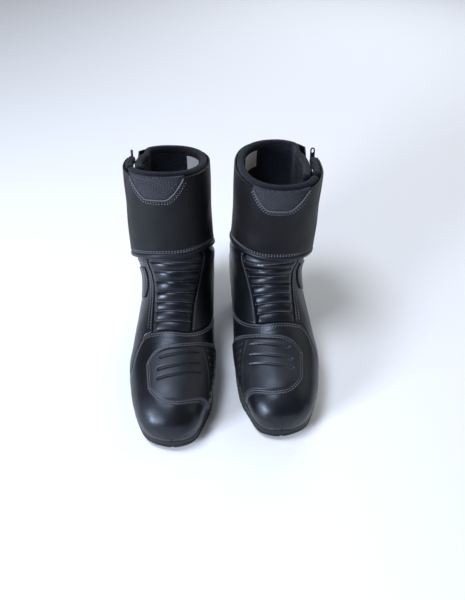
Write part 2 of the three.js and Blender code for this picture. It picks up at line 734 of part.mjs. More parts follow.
function zipSlider() {
  const thickness = SLIDER.top - SLIDER.base;
  const middle = PULL.depth - (SLIDER.top + SLIDER.base) / 2;
  const length = SLIDER.length;
  let body = box(SLIDER.width, thickness, length, 0, middle, -PULL.rise);
  for (const side of [-1, 1]) {
    const lug = box(1.4, 3.2, 4, side * 3, 0.6, -1.6);
    body = body.add(lug);
  }
  return toGeometry(body);
}

// The pull hangs on the slider and can stand either way round.
function zipPull(boot) {
  const plate = new THREE.Shape();
  const half = PULL.width / 2;
  plate.moveTo(-1, -1);
  plate.lineTo(1, -1);
  plate.lineTo(half, 5);
  plate.lineTo(half, PULL.length - 3);
  plate.absarc(0, PULL.length - 3, half, 0, Math.PI, false);
  plate.lineTo(-half, 5);
  const slot = new THREE.Path();
  slot.absellipse(0, PULL.length - 4, 1.7, 2.6, 0, 2 * Math.PI, true);
  plate.holes.push(slot);
  const geometry = new THREE.ExtrudeGeometry(plate, {
    depth: PULL.thickness, bevelEnabled: false, curveSegments: 5,
  });
  return geometry.translate(0, 0, -PULL.thickness / 2).rotateX(Math.PI / 2).rotateZ(boot.pullTurn);
}

// ---- Collar and lining ------------------------------------------------------------

function collarBead(boot, steps, uStart, uEnd, depth) {
  const frame = (t) => {
    const u = lerp(uStart, uEnd, t);
    const normal = outward(boot, u, COLLAR.v);
    const up = skin(boot, u, 16).sub(skin(boot, u, 15.5)).normalize();
    return {
      centre: atDepth(boot, u, COLLAR.v, depth(u)),
      across: normal.multiplyScalar(COLLAR.across),
      high: up.multiplyScalar(COLLAR.high),
    };
  };
  return bead(steps, 8, 1 / steps, frame);
}

// The collar starts at the flap's hinge, goes round the front, the inner side and the
// back, and then steps inward to run on behind its own beginning.
function collar(boot) {
  const depth = (u) => COLLAR.depth - COLLAR.shift * smoothstep(u, 0.6, 0.682);
  return collarBead(boot, 32, FLAP_HINGE + 2 * SEAM, COLLAR.end, depth);
}

function flapCollar(boot) {
  return collarBead(boot, 5, 0.724, 1 + FLAP_HINGE - 2 * SEAM, () => COLLAR.depth);
}

const LINING_ROWS = [0, 0.4, 1, 2, 3.5, 5.2, 7, 8.2, 8.9, 9.4, 9.9, 10.6, 11.6, 12.8, 14.6, 15.75];

function lining(boot) {
  const rows = LINING_ROWS.length - 1;
  const where = (s, t) => [s, LINING_ROWS[Math.round(t * rows)]];
  const layer = (u, v) => {
    const wall = lerp(LINING_FOOT, LINING_SHAFT, smoothstep(v, 9.8, 12.4));
    const inward = COLLAR.shift * smoothstep(u, 0.6, 0.682) * (1 - smoothstep(u, 0.85, 0.9));
    const top = lerp(wall, LINING_RIM - inward, smoothstep(v, 13.6, 15.75));
    return [top, top - LINING_THICKNESS];
  };
  return patch(boot, 20, rows, where, layer, true);
}

// ---- One boot ---------------------------------------------------------------------

function buildBoot(boot) {
  const group = new THREE.Group();
  const add = (name, geometry, material, matrix) => {
    const mesh = new THREE.Mesh(geometry, material);
    mesh.name = `${boot.side}_${name}`;
    if (matrix) matrix.decompose(mesh.position, mesh.quaternion, mesh.scale);
    group.add(mesh);
  };
  const m = MATERIALS;
  add('outsole', outsole(boot), m.rubber);
  add('midsole', midsole(boot), m.rubber);
  add('insole_board', bottomPatch(boot, 6, 10, 3, 0.3, STIFFENER), m.board);
  add('footbed', bottomPatch(boot, 6, 10, 2, 0.9, [-10, -13]), m.insole);
  add('toe_puff', toePuff(boot), m.plastic);
  add('heel_counter', heelCounter(boot), m.plastic);
  add('vamp', vamp(boot), m.leather);
  add('shift_pad', shiftPad(boot), m.padRubber);
  add('quarter_inner', quarter(boot, 1, LOWER_TOP), m.leather);
  add('quarter_outer', quarter(boot, -1, OUTER_TOP), m.leather);
  add('heel_cap', heelCap(boot), m.leather);
  add('bellows', bellows(boot), m.leather);
  add('rear_bellows', rearBellows(boot), m.leather);
  add('ankle_guard', ankleGuard(boot, 0.72, 0.06), m.leather);
  add('zip_end_tab', zipEndTab(boot), m.leather);
  add('shin_panel', shinPanel(boot), m.microfibre);
  add('mesh_insert', meshInsert(boot), m.mesh);
  add('insert_piping', insertPiping(boot), m.reflective);
  add('rear_panel', rearPanel(boot), m.leather);
  add('closure_flap', closureFlap(boot), m.microfibre);
  add('flap_collar', flapCollar(boot), m.knit);
  add('hook_strip', fasteningStrip(boot, -2.6, -3.4), m.knit);
  add('loop_strip', fasteningStrip(boot, -3.8, -4.8), m.knit);
  add('collar', collar(boot), m.knit);
  add('lining', lining(boot), m.lining);
  add('zip_tape', zipTape(boot), m.knit);
  add('zip_chain', zipChain(boot), m.plastic, zipFrame(boot));
  add('zip_slider', zipSlider(), m.metal, zipFrame(boot));
  add('zip_pull', zipPull(boot), m.metal, zipFrame(boot));
  group.scale.x = boot.mirrored ? -1 : 1;
  const placed = new THREE.Group();
  placed.position.set(boot.x, boot.y, 0);
  placed.rotation.z = boot.yaw;
  placed.add(group);
  return placed;
}

const pair = new THREE.Group();
for (const boot of BOOTS) pair.add(buildBoot(boot));

// The pair's origin is on the ground, under the middle of both boots.
const middle = new THREE.Box3().setFromObject(pair, true).getCenter(new THREE.Vector3());
for (const placed of pair.children) placed.position.sub(middle.setZ(0));

export default pair;
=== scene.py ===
"""A pair of touring boots: the looks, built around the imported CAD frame.

Each boot is worked out in millimetres in its own frame (x toward the other boot, y from
toe to heel, z up) and then placed in the part's frame in metres. Every upper piece is a
patch of one skin: u goes round the boot (0 front, 0.25 inner side, 0.5 back, 0.75 outer
side) and v along it, from the toe tip (0) over the heel (10) to the rim (16).
"""

import bmesh
import bpy
import numpy as np
from mathutils import Matrix, Vector
from mathutils.bvhtree import BVHTree


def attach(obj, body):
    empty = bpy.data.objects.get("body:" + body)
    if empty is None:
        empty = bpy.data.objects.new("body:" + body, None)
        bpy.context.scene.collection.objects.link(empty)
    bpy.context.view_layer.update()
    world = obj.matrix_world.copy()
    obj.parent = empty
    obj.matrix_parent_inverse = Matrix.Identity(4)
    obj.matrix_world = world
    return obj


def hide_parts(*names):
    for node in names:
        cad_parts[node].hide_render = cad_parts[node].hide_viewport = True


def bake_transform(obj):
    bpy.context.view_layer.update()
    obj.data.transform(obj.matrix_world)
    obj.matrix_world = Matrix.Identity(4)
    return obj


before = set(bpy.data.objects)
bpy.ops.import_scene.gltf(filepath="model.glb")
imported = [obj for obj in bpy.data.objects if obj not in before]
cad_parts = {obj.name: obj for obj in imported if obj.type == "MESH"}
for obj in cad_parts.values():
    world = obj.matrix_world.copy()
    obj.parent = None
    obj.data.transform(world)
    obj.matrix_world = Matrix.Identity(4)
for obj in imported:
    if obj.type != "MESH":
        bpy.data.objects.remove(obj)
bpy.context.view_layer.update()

# ---- Places and sizes, in mm: all but the toe's are as in the CAD source -------------
MM = 0.001
MID_FOOT = 150
ANKLE_Y, ANKLE_Z = 50, 105
BOOTS = (
    {"side": "right", "x": -65.92581, "y": -6.73305, "yaw": np.radians(-1), "lean": np.radians(-3.5),
     "twist": -0.02, "flip": 1, "label": (0.372, 0.05, 15.05, 15.8)},
    {"side": "left", "x": 64.07419, "y": 10.26695, "yaw": np.radians(6), "lean": np.radians(6.5),
     "twist": 0.022, "flip": -1, "label": (0.376, 0.05, 15.2, 15.84)},
)
# [top from heel, top height, low from heel, low height, inner, outer, belly, round, square, drift]
SECTIONS = np.array([
    [299.5, 30, 299.5, 30, 0, 0, 0.4, 2.1, 3.4, 7],
    [294, 50, 294, 21, 21, 23.5, 0.4, 2.1, 3.8, 6],
    [280.5, 62, 282, 20, 34.5, 36.5, 0.38, 2.1, 4.0, 4],
    [261, 71, 260.5, 19, 43, 45, 0.36, 2.1, 4.0, 2],
    [234, 79, 234, 18, 49.5, 51.5, 0.35, 2.2, 3.9, 1],
    [205, 88, 200, 18, 53, 56, 0.34, 2.1, 3.8, 0],
    [185, 99, 165, 20, 53, 55, 0.34, 2.0, 3.8, 0],
    [170, 112, 130, 24, 51, 53, 0.36, 2.0, 3.8, 0],
    [158, 126, 87, 28, 49, 50, 0.4, 2.0, 3.8, 0],
    [150, 140, 38, 30, 48, 48, 0.45, 2.0, 3.8, 0],
    [145, 153, 9, 45, 49, 48, 0.45, 2.0, 3.0, -1],
    [142, 165, 6, 75, 51, 50, 0.47, 2.1, 2.3, -2],
    [140, 178, 13, 108, 53, 53, 0.5, 2.1, 2.1, -3],
    [139, 195, 16, 145, 53, 54, 0.5, 2.2, 2.2, -4],
    [139, 218, 11, 184, 52, 54, 0.5, 2.2, 2.2, -5],
    [141, 252, 6, 222, 53, 53, 0.5, 2.2, 2.2, -6],
    [143, 286, 3, 258, 53, 51, 0.5, 2.2, 2.2, -7],
], float)
SKIN_TOP = len(SECTIONS) - 1
before_toe = SECTIONS[1][[2, 3, 0, 1, 4, 5, 6, 7, 8, 9]] * [1, 1, 1, 1, -1, -1, 1, 1, 1, 1]
KNOTS = np.vstack([before_toe, SECTIONS, 2 * SECTIONS[-1] - SECTIONS[-2]])

LEATHER = 1.5
VAMP_SEAM = 5.98
HEEL_SEAM = 0.285
HEEL_CAP_LOW, HEEL_CAP_TOP = 8.3, 10.9
SHAFT_BOTTOM, SHAFT_TOP, SHAFT_LIFT = 11.8, 15.97, 0.7
LOWER_TOP = 12.3
SHIN_INNER = 0.27
FLAP_HINGE = -0.165
MARGIN = 3
HEEL_SEAT, TOE_SEAT = 30, 21
INSERT_HALF, INSERT_FLAT, INSERT_DEPTH = 0.1, 0.3, 0.82
ZIP_LOW, ZIP_HIGH = (0.8, 12), (0.705, 15.5)
COLLAR_V, COLLAR_ACROSS, COLLAR_HIGH, COLLAR_END = 15.95, 4.6, 5.4, 0.87
COLLAR_DEPTH, COLLAR_SHIFT = -7.5, 11
BAND_WIDTH, BAND_HANG = 5.0, 0.8
REAR_LEDGE, REAR_TURN, REAR_LIFT = 5.3, 0.64, 0.32
LIP, WELT, TOE_TUCK, SOLE_GAP = 8, 3, 4.3, 0.4
MIDSOLE_TOP = np.array([[-20, 38], [70, 37], [130, 32], [200, 27], [262, 26], [320, 27]])
SOLE_JOINT = np.array([[-20, 20], [88, 20], [100, 18], [140, 12.5], [180, 9], [262, 9], [320, 18]])
GROUND = np.array([[-20, 3], [8, 0], [84, 0], [90, 11], [140, 6.5], [168, 0], [250, 0], [320, 14]])
# Millimetres per unit of u round the lower half and the shaft, and per unit of v at three places
LOWER_U, SHAFT_U = 300, 330
SEAM_V, HEEL_V, PAD_V = 19, 30, 26
# Steps of each search that halves a span
HALVINGS = 26
# Rows of stitches, by their distance in mm from the edge that they follow
VAMP_ROWS, HEEL_ROWS, PAD_ROWS, FLAP_ROWS = (2.0, 4.8), (2.1, 4.9), (1.8, 4.4), (2.4, 4.8)
SHAFT_ROWS, INSERT_ROWS, STAY_ROW = (7.0, 9.4), (3.2, 5.4), 6.2


# ---- The skin ------------------------------------------------------------------------
def column(k, v):
    i = np.clip(np.floor(v).astype(int), 0, SKIN_TOP - 1)
    t = v - i
    p0, p1, p2, p3 = (KNOTS[i + j, k] for j in range(4))
    curve = (2 * p0 - 5 * p1 + 4 * p2 - p3) * t * t + (3 * p1 - p0 - 3 * p2 + p3) * t**3
    return 0.5 * (2 * p1 + (p2 - p0) * t + curve)


def smooth(x, low, high):
    t = np.clip((x - low) / (high - low), 0, 1)
    return t * t * (3 - 2 * t)


def lerp(a, b, t):
    return a + (b - a) * t


def section_share(u, v):
    c = np.cos(2 * np.pi * u)
    power = np.where(c >= 0, column(7, v), column(8, v))
    lobe = np.sign(c) * np.abs(c) ** (2 / power)
    belly = column(6, v)
    return np.where(lobe >= 0, belly + (1 - belly) * lobe, belly + belly * lobe)


def skin_height(u, v):
    return lerp(column(3, v), column(1, v), section_share(u, v))


def skin(boot, u, v):
    u, v = np.broadcast_arrays(np.asarray(u, float), np.asarray(v, float))
    c, s = np.cos(2 * np.pi * u), np.sin(2 * np.pi * u)
    power = np.where(c >= 0, column(7, v), column(8, v))
    half = np.where(s >= 0, column(4, v), column(5, v))
    x = half * np.sign(s) * np.abs(s) ** (2 / power) + column(9, v)
    share = section_share(u, v)
    y = MID_FOOT - lerp(column(2, v), column(0, v), share)
    z = skin_height(u, v)
    angle = boot["lean"] * smooth(v, 8, 12) * smooth(z, 55, ANKLE_Z)
    dy, dz = y - ANKLE_Y, z - ANKLE_Z
    return np.stack([
        x,
        ANKLE_Y + dy * np.cos(angle) - dz * np.sin(angle),
        ANKLE_Z + dy * np.sin(angle) + dz * np.cos(angle),
    ], -1)


def slopes(boot, u, v):
    """How the skin runs along u and along v there, in mm."""
    near = np.maximum(v, 0.04)
    along_u = (skin(boot, u + 0.0015, near) - skin(boot, u - 0.0015, near)) / 0.003
    along_v = (skin(boot, u, near + 0.01) - skin(boot, u, near - 0.01)) / 0.02
    return along_u, along_v


def unit(a):
    return a / np.maximum(np.linalg.norm(a, axis=-1, keepdims=True), 1e-9)


def normals(boot, u, v):
    along_u, along_v = slopes(boot, u, v)
    return unit(np.cross(along_u, along_v))


def at_depth(boot, u, v, n):
    return skin(boot, u, v) + normals(boot, u, v) * np.asarray(n)[..., None]


def placed(boot, p):
    """From a boot's own frame in mm to the part's frame in metres."""
    x, y = p[..., 0] * boot["flip"], p[..., 1]
    c, s = np.cos(boot["yaw"]), np.sin(boot["yaw"])
    return np.stack([boot["x"] + x * c - y * s, boot["y"] + x * s + y * c, p[..., 2]], -1) * MM


# ---- Meshes --------------------------------------------------------------------------
def add_piece(boot, name, points, faces, look, slot, replaces=(), uv=None, body="boot", sharp=40):
    """A mesh from points in a boot's frame, that rides on a body, or is left loose when it is part of the
    flap.
    """
    side = boot["side"]
    mesh = bpy.data.meshes.new(f"{side}_{name}")
    mesh.from_pydata(placed(boot, points).tolist(), [], faces.tolist())
    if uv is not None:
        layer = mesh.uv_layers.new(name="cloth")
        corners = np.zeros(len(mesh.loops), np.int32)
        mesh.loops.foreach_get("vertex_index", corners)
        layer.data.foreach_set("uv", (uv[corners] * 0.01).astype(np.float32).ravel())
    work = bmesh.new()
    work.from_mesh(mesh)
    bmesh.ops.remove_doubles(work, verts=work.verts, dist=2e-6)
    bmesh.ops.recalc_face_normals(work, faces=work.faces)
    work.to_mesh(mesh)
    work.free()
    mesh.shade_smooth()
    mesh.set_sharp_from_angle(angle=np.radians(sharp))
    mesh.materials.append(LOOKS[look])
    piece = bpy.data.objects.new(f"{side}_{name}", mesh)
    bpy.context.scene.collection.objects.link(piece)
    if body != "hinge":
        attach(piece, f"{side}_{body}")
    if replaces:
        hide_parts(*[f"{side}_{node_name}" for node_name in replaces])
    if body == "hinge":
        bend_at_hinge(boot, piece)
    return piece


def add_sheet(boot, name, front, back, uv, *rest, ring=False, **more):
    """A closed sheet between two grids of points."""
    points = np.vstack([front.reshape(-1, 3), back.reshape(-1, 3)])
    faces = shell_faces(*front.shape[:2], ring)
    return add_piece(boot, name, points, faces, *rest, uv=np.vstack([uv.reshape(-1, 2)] * 2), **more)


def grid_faces(rows, columns, first=0, ring=False):
    i, j = np.meshgrid(np.arange(columns if ring else columns - 1), np.arange(rows - 1))
    a = first + j * columns + i
    b = first + j * columns + (i + 1) % columns
    return np.stack([a, b, b + columns, a + columns], -1).reshape(-1, 4)


def shell_faces(rows, columns, ring=False):
    """Faces of a closed solid between two grids, the second one stored after the first."""
    size = rows * columns
    walls = [grid_faces(rows, columns, 0, ring), grid_faces(rows, columns, size, ring)[:, ::-1]]
    for row in (0, rows - 1):
        k = row * columns + np.arange(columns)
        following = np.roll(k, -1) if ring else k[1:]
        k = k if ring else k[:-1]
        walls.append(np.stack([k, following, following + size, k + size], -1))
    if not ring:
        for col in (0, columns - 1):
            k = np.arange(rows) * columns + col
            walls.append(np.stack([k[:-1], k[1:], k[1:] + size, k[:-1] + size], -1))
    return np.vstack(walls)


FINE = [0, 0.12, 0.3, 0.55, 0.9, 1.4]


def steps(length, step, fine_start=True, fine_end=True):
    """Shares of a length, closer together by its two ends so that edges can be rolled."""
    start = FINE if fine_start else [0]
    end = FINE if fine_end else [0]
    count = max(2, int((length - start[-1] - end[-1]) / step))
    middle = np.linspace(start[-1], length - end[-1], count + 1)
    return np.concatenate([start[:-1], middle, length - np.array(end[:-1][::-1])]) / length


def cumulative(points, axis):
    gaps = np.linalg.norm(np.diff(points, axis=axis), axis=-1)
    zero = np.zeros_like(np.take(gaps, [0], axis=axis))
    return np.concatenate([zero, np.cumsum(gaps, axis=axis)], axis=axis)


class Patch:
    """A grid on the skin. where(s, t) gives u and v; fine says which edges (left, right, low,
    high) get closer rows, so that they can be rolled."""

    def __init__(self, boot, where, step=1.2, fine=(1, 1, 1, 1)):
        self.boot = boot
        s, t = np.meshgrid(np.linspace(0, 1, 241), np.linspace(0, 1, 81))
        rough = skin(boot, *where(s, t))
        width = np.median(cumulative(rough, 1)[:, -1])
        lengths = cumulative(rough, 0)
        height = np.median(lengths[-1])
        share = np.median(lengths / np.maximum(lengths[-1:], 1e-6), axis=1)
        wanted = steps(height, step, fine[2], fine[3])
        rows = np.interp(wanted, share, np.linspace(0, 1, 81))
        wanted_s = steps(width, step, fine[0], fine[1])
        dense = np.linspace(0, 1, 8 * len(wanted_s) + 1)
        s, t = np.meshgrid(dense, rows)
        u, v = where(s, t)
        run = cumulative(skin(boot, u, v), 1)
        self.u, self.v = np.zeros((2, len(rows), len(wanted_s)))
        for k, total in enumerate(run[:, -1]):
            share_k = wanted_s if total < 1e-6 else np.interp(wanted_s, run[k] / total, dense)
            self.u[k] = np.interp(share_k, dense, u[k])
            self.v[k] = np.interp(share_k, dense, v[k])
        self.points = skin(boot, self.u, self.v)
        self.normal = normals(boot, self.u, self.v)
        self.left = cumulative(self.points, 1)
        self.right = self.left[:, -1:] - self.left
        self.low = cumulative(self.points, 0)
        self.high = self.low[-1:] - self.low
        self.tree = None
        self.outer = self.points

    def edge(self, *sides):
        """The distance in mm to the nearest of the named edges."""
        return np.minimum.reduce([getattr(self, side) for side in sides])

    def solid(self, name, height, back, look, slot, replaces=(), body="boot", sharp=40):
        """Closes the patch between a height and a back depth, both in mm over the skin."""
        self.outer, inner = (self.points + self.normal * np.broadcast_to(level, self.u.shape)[..., None]
                             for level in (height, back))
        uv = np.stack([self.left, self.low], -1)
        add_sheet(self.boot, name, self.outer, inner, uv, look, slot, replaces, body=body, sharp=sharp)

    def surface(self):
        if self.tree is None:
            rows, columns = self.u.shape
            points = self.outer.reshape(-1, 3).tolist()
            self.tree = BVHTree.FromPolygons(points, grid_faces(rows, columns).tolist())
        return self.tree


def rolled(distance, radius):
    """The drop of a rounded edge of that radius."""
    d = np.clip(distance, 0, radius)
    return -(radius - np.sqrt(np.maximum(radius**2 - (radius - d) ** 2, 0)))


def pressed(distance, at, depth=0.4, width=1.0):
    """The dip that a row of stitches pulls into the surface."""
    return -depth * np.exp(-(((distance - at) / width) ** 2))


def pressed_rows(distance, rows, depth=0.35, width=1.0):
    return sum(pressed(distance, row, depth, width) for row in rows)


def tucked_under(distance, drop, reach):
    """The dip where a piece runs under another one's edge, by the distance past that edge."""
    return -drop * (1 - smooth(distance, -0.3, reach))


def rib_section(x):
    return np.sqrt(np.maximum(1 - np.abs(2 * x - 1) ** 2.4, 0))


# ---- Materials -----------------------------------------------------------------------
class Field:
    """A number that varies over the surface. Sums and products of fields wire up math nodes."""

    def __init__(self, tree, socket):
        self.tree, self.socket = tree, socket

    def calc(self, operation, a, b=None):
        made = self.tree.nodes.new("ShaderNodeMath")
        made.operation = operation
        for value, target in zip((a, b), made.inputs):
            if isinstance(value, Field):
                self.tree.links.new(value.socket, target)
            elif value is not None:
                target.default_value = value
        return Field(self.tree, made.outputs[0])

    def __add__(self, other):
        return self.calc("ADD", self, other)

    def __mul__(self, other):
        return self.calc("MULTIPLY", self, other)

    def __sub__(self, other):
        return self.calc("SUBTRACT", self, other)

    def __rsub__(self, other):
        return self.calc("SUBTRACT", other, self)

    def spread(self, low, high, from_low=0.3, from_high=0.7):
        made = self.tree.nodes.new("ShaderNodeMapRange")
        values = {"From Min": from_low, "From Max": from_high, "To Min": low, "To Max": high}
        for key, value in values.items():
            made.inputs[key].default_value = value
        self.tree.links.new(self.socket, made.inputs["Value"])
        return Field(self.tree, made.outputs["Result"])

    def wave(self, pitch):
        """From 0 to 1 and back over each pitch."""
        return self.calc("SINE", self * (2 * np.pi / pitch)) * 0.5 + 0.5


class Shader:
    """A Principled material, with helpers that wire more nodes onto it."""

    def __init__(self, name, color, roughness, sheen=0.0, coat=0.0, metallic=0.0, gloss=0.5):
        self.material = bpy.data.materials.new(name)
        self.material.use_nodes = True
        self.tree = self.material.node_tree
        self.main = self.tree.nodes["Principled BSDF"]
        # Painted light colour: the bluish Specular Tint stands in for the cool window light in every
        # highlight, on all materials.
        values = {
            "Base Color": (*color, 1), "Roughness": roughness, "Metallic": metallic,
            "Specular IOR Level": gloss, "Specular Tint": (0.8, 0.88, 1.0, 1),
            "Sheen Weight": sheen, "Sheen Roughness": 0.4, "Coat Weight": coat, "Coat Roughness": 0.3,
        }
        for key, value in values.items():
            self.main.inputs[key].default_value = value

    def node(self, kind, **values):
        made = self.tree.nodes.new("ShaderNode" + kind)
        for key, value in values.items():
            if key in made.inputs:
                made.inputs[key].default_value = value
            else:
                setattr(made, key, value)
        return made

    def link(self, source, target):
        self.tree.links.new(source.socket if isinstance(source, Field) else source, target)

    def place(self):
        return self.node("TexCoord").outputs["Object"]

    def noise(self, scale, detail=3.0):
        made = self.node("TexNoise", Scale=scale, Detail=detail)
        self.link(self.place(), made.inputs["Vector"])
        return Field(self.tree, made.outputs["Fac"])

    def edges(self):
        """Higher on convex edges, which wear first."""
        return Field(self.tree, self.node("NewGeometry").outputs["Pointiness"])

    def cloth_axes(self, turn):
        """The patch's own two directions in mm, turned by an angle."""
        turned = self.node("Mapping", Rotation=(0, 0, turn), Scale=(100, 100, 100))
        self.link(self.node("UVMap", uv_map="cloth").outputs["UV"], turned.inputs["Vector"])
        split = self.node("SeparateXYZ")
        self.link(turned.outputs[0], split.inputs[0])
        return Field(self.tree, split.outputs[0]), Field(self.tree, split.outputs[1])

    def tint(self, factor, dark, light):
        """The base colour runs from dark to light with the factor."""
        mix = self.node("Mix", data_type="RGBA")
        mix.inputs[6].default_value = (*dark, 1)
        mix.inputs[7].default_value = (*light, 1)
        self.link(factor, mix.inputs[0])
        self.link(mix.outputs[2], self.main.inputs["Base Color"])

    def bump(self, height, distance, strength=1.0, after=None):
        made = self.node("Bump", Strength=strength, Distance=distance)
        self.link(height, made.inputs["Height"])
        if after is not None:
            self.link(after, made.inputs["Normal"])
        self.link(made.outputs["Normal"], self.main.inputs["Normal"])
        return made.outputs["Normal"]


def leather(name, color, roughness, grain=1.0, grain_size=900, gloss=0.5, wear=0.5):
    """Grained leather: fine cells, small pores, patchy gloss and paler worn edges."""
    shader = Shader(name, color, roughness, gloss=gloss)
    shift = shader.node("TexNoise", Scale=grain_size * 0.4, Detail=2.0)
    small = shader.node("VectorMath", operation="SCALE")
    small.inputs["Scale"].default_value = 0.6 / grain_size
    warp = shader.node("VectorMath", operation="ADD")
    voronoi = shader.node("TexVoronoi", Scale=grain_size, feature="SMOOTH_F1")
    shader.link(shader.place(), shift.inputs["Vector"])
    shader.link(shift.outputs["Color"], small.inputs[0])
    shader.link(shader.place(), warp.inputs[0])
    shader.link(small.outputs[0], warp.inputs[1])
    shader.link(warp.outputs[0], voronoi.inputs["Vector"])
    cells = Field(shader.tree, voronoi.outputs["Distance"])
    pores = shader.noise(grain_size * 2.4, 4.0)
    grained = shader.bump(cells * 0.8 + pores * 0.5, 0.00009 * grain, 0.7)
    shader.bump(shader.noise(55), 0.0009, 0.35, grained)
    patches = shader.noise(38, 4.0)
    uneven = patches.spread(roughness - 0.05, roughness + 0.06) + cells * 0.12
    shader.link(uneven, shader.main.inputs["Roughness"])
    shade = patches.spread(0, 0.25) + shader.edges().spread(0, 1, 0.52, 0.62) * wear
    shader.tint(shade, [c * 0.82 for c in color], [c * 1.9 + 0.004 for c in color])
    return shader.material


def rubber(name, color, roughness, grain_size=1400, grain=1.0, gloss=0.3):
    shader = Shader(name, color, roughness, gloss=gloss)
    shader.bump(shader.noise(grain_size), 0.00012 * grain, 0.6)
    patches = shader.noise(45, 5.0)
    shader.link(patches.spread(roughness - 0.07, roughness + 0.09), shader.main.inputs["Roughness"])
    dust = patches.spread(0, 0.3) + shader.edges().spread(0, 0.5, 0.53, 0.66)
    shader.tint(dust, [c * 0.85 for c in color], [c * 1.7 + 0.006 for c in color])
    return shader.material


def woven(name, dark, light, pitch, turn=0.0, roughness=0.85, depth=0.0003, sheen=0.1):
    """A plain weave: threads pass over and under in both directions."""
    shader = Shader(name, dark, roughness, sheen, gloss=0.2)
    over, under = (axis.wave(pitch) for axis in shader.cloth_axes(turn))
    weave = over * under + (1.0 - over) * (1.0 - under)
    shader.bump(weave + shader.noise(3200, 2.0) * 0.35, depth)
    shader.tint(weave * 0.75 + shader.noise(60, 4.0).spread(-0.15, 0.25), dark, light)
    return shader.material


def meshed(name, hole, strand, pitch, turn=0.0, roughness=0.8, depth=0.0004):
    """Spacer mesh: rows of small round holes between strands."""
    shader = Shader(name, strand, roughness, 0.1, gloss=0.2)
    x, y = shader.cloth_axes(turn)
    slant = y * 0.577
    holes = (x + slant).wave(pitch) * (x - slant).wave(pitch) * (y * 1.155).wave(pitch)
    strands = 1.0 - holes.spread(0, 1, 0.12, 0.5)
    shader.bump(strands + shader.noise(2600, 2.0) * 0.3, depth)
    shader.tint(strands * 0.85 + shader.noise(70).spread(-0.1, 0.2), hole, strand)
    return shader.material


def hardware(name):
    """Black painted metal with paler rubbed edges and fine scratches."""
    shader = Shader(name, (0.014, 0.014, 0.016), 0.36, metallic=0.55, coat=0.3)
    patches = shader.noise(500, 6.0)
    rubbed = shader.edges().spread(0, 1, 0.53, 0.62) * patches.spread(0.2, 1.0)
    shader.tint(rubbed, (0.013, 0.013, 0.015), (0.16, 0.16, 0.165))
    shader.link(patches.spread(0.28, 0.5), shader.main.inputs["Roughness"])
    shader.bump(patches, 0.00005, 0.5)
    return shader.material


DIAGONAL = 0.785
LOOKS = {
    "leather": leather("smooth_leather", (0.0026, 0.0028, 0.0040), 0.3, gloss=0.42, wear=0.3),
    "panel": leather("matte_leather", (0.0048, 0.0041, 0.0039), 0.5, 0.8, 1300, 0.24, 0.25),
    "band": leather("edge_band", (0.0050, 0.0052, 0.0066), 0.36, 0.7, 1200, 0.36, 0.4),
    "pad": rubber("pad_rubber", (0.007, 0.0072, 0.0085), 0.45, gloss=0.5),
    "sole": rubber("sole_rubber", (0.006, 0.0062, 0.007), 0.5, 900),
    "thread": woven("thread", (0.13, 0.135, 0.155), (0.28, 0.29, 0.32), 0.5, 0.6, 0.7, 0.0001),
    "knit": woven("collar_knit", (0.0012, 0.0014, 0.003), (0.009, 0.0103, 0.019), 2.2, DIAGONAL, 0.9, 0.0009),
    "insert": meshed("insert_mesh", (0.0003, 0.0003, 0.0006), (0.036, 0.037, 0.044), 3.3, 0.3, 0.7, 0.0008),
    "piping": woven("reflective_piping", (0.05, 0.053, 0.06), (0.12, 0.124, 0.138), 0.8, DIAGONAL, 0.5,
                    0.0001, 0.05),
    "lining": meshed("lining_mesh", (0.0008, 0.0009, 0.002), (0.008, 0.0094, 0.0175), 3.6, depth=0.0015),
    "footbed": woven("footbed_cloth", (0.10, 0.08, 0.055), (0.19, 0.155, 0.11), 1.0, DIAGONAL, 0.9, 0.0002),
    "label": woven("label_satin", (0.55, 0.56, 0.56), (0.78, 0.78, 0.77), 0.7, 0.0, 0.6, 0.00006),
    "tape": woven("zip_tape", (0.004, 0.004, 0.006), (0.014, 0.014, 0.017), 0.7, DIAGONAL, 0.8, 0.0002),
    "hook": meshed("hook_tape", (0.004, 0.004, 0.005), (0.018, 0.018, 0.02), 1.2, 0.0, 0.9, 0.0007),
    "coil": rubber("zip_coil", (0.008, 0.008, 0.01), 0.35, 2000, 0.5),
    "stiffener": rubber("stiffener_board", (0.02, 0.02, 0.022), 0.6, 800),
    "board": rubber("insole_board", (0.14, 0.11, 0.08), 0.85, 700),
    "metal": hardware("zip_metal"),
}


# ---- Sewing --------------------------------------------------------------------------
STITCH_STATIONS = np.array([-0.5, -0.38, 0.0, 0.38, 0.5])
STITCH_GIRTH = np.array([0.0, 0.8, 1.0, 0.8, 0.0])
STITCH_LIFT = np.array([-0.9, 0.1, 0.55, 0.1, -0.9])
STITCH_SIDES = 6
SMALL_STITCH = {"pitch": 3.3, "length": 1.9, "radius": 0.44}
threads = {}


def stitches_along(points, outward, tree, pitch, length):
    """The two ends and the normal of each stitch on a line, dropped onto a surface."""
    run = cumulative(points, 0)
    count = int((run[-1] - length) / pitch)
    if count < 1:
        return []
    spare = (run[-1] - (count * pitch + length)) / 2
    found = []
    for k in range(count + 1):
        ends = []
        for at in (spare + k * pitch, spare + k * pitch + length):
            p = np.array([np.interp(at, run, points[:, j]) for j in range(3)])
            n = unit(np.array([np.interp(at, run, outward[:, j]) for j in range(3)]))
            hit = tree.ray_cast(Vector(p + n * 14), Vector(-n), 30)[0]
            if hit is not None:
                ends.append((np.array(hit), n))
        if len(ends) == 2:
            found.append((ends[0][0], ends[1][0], ends[0][1]))
    return found


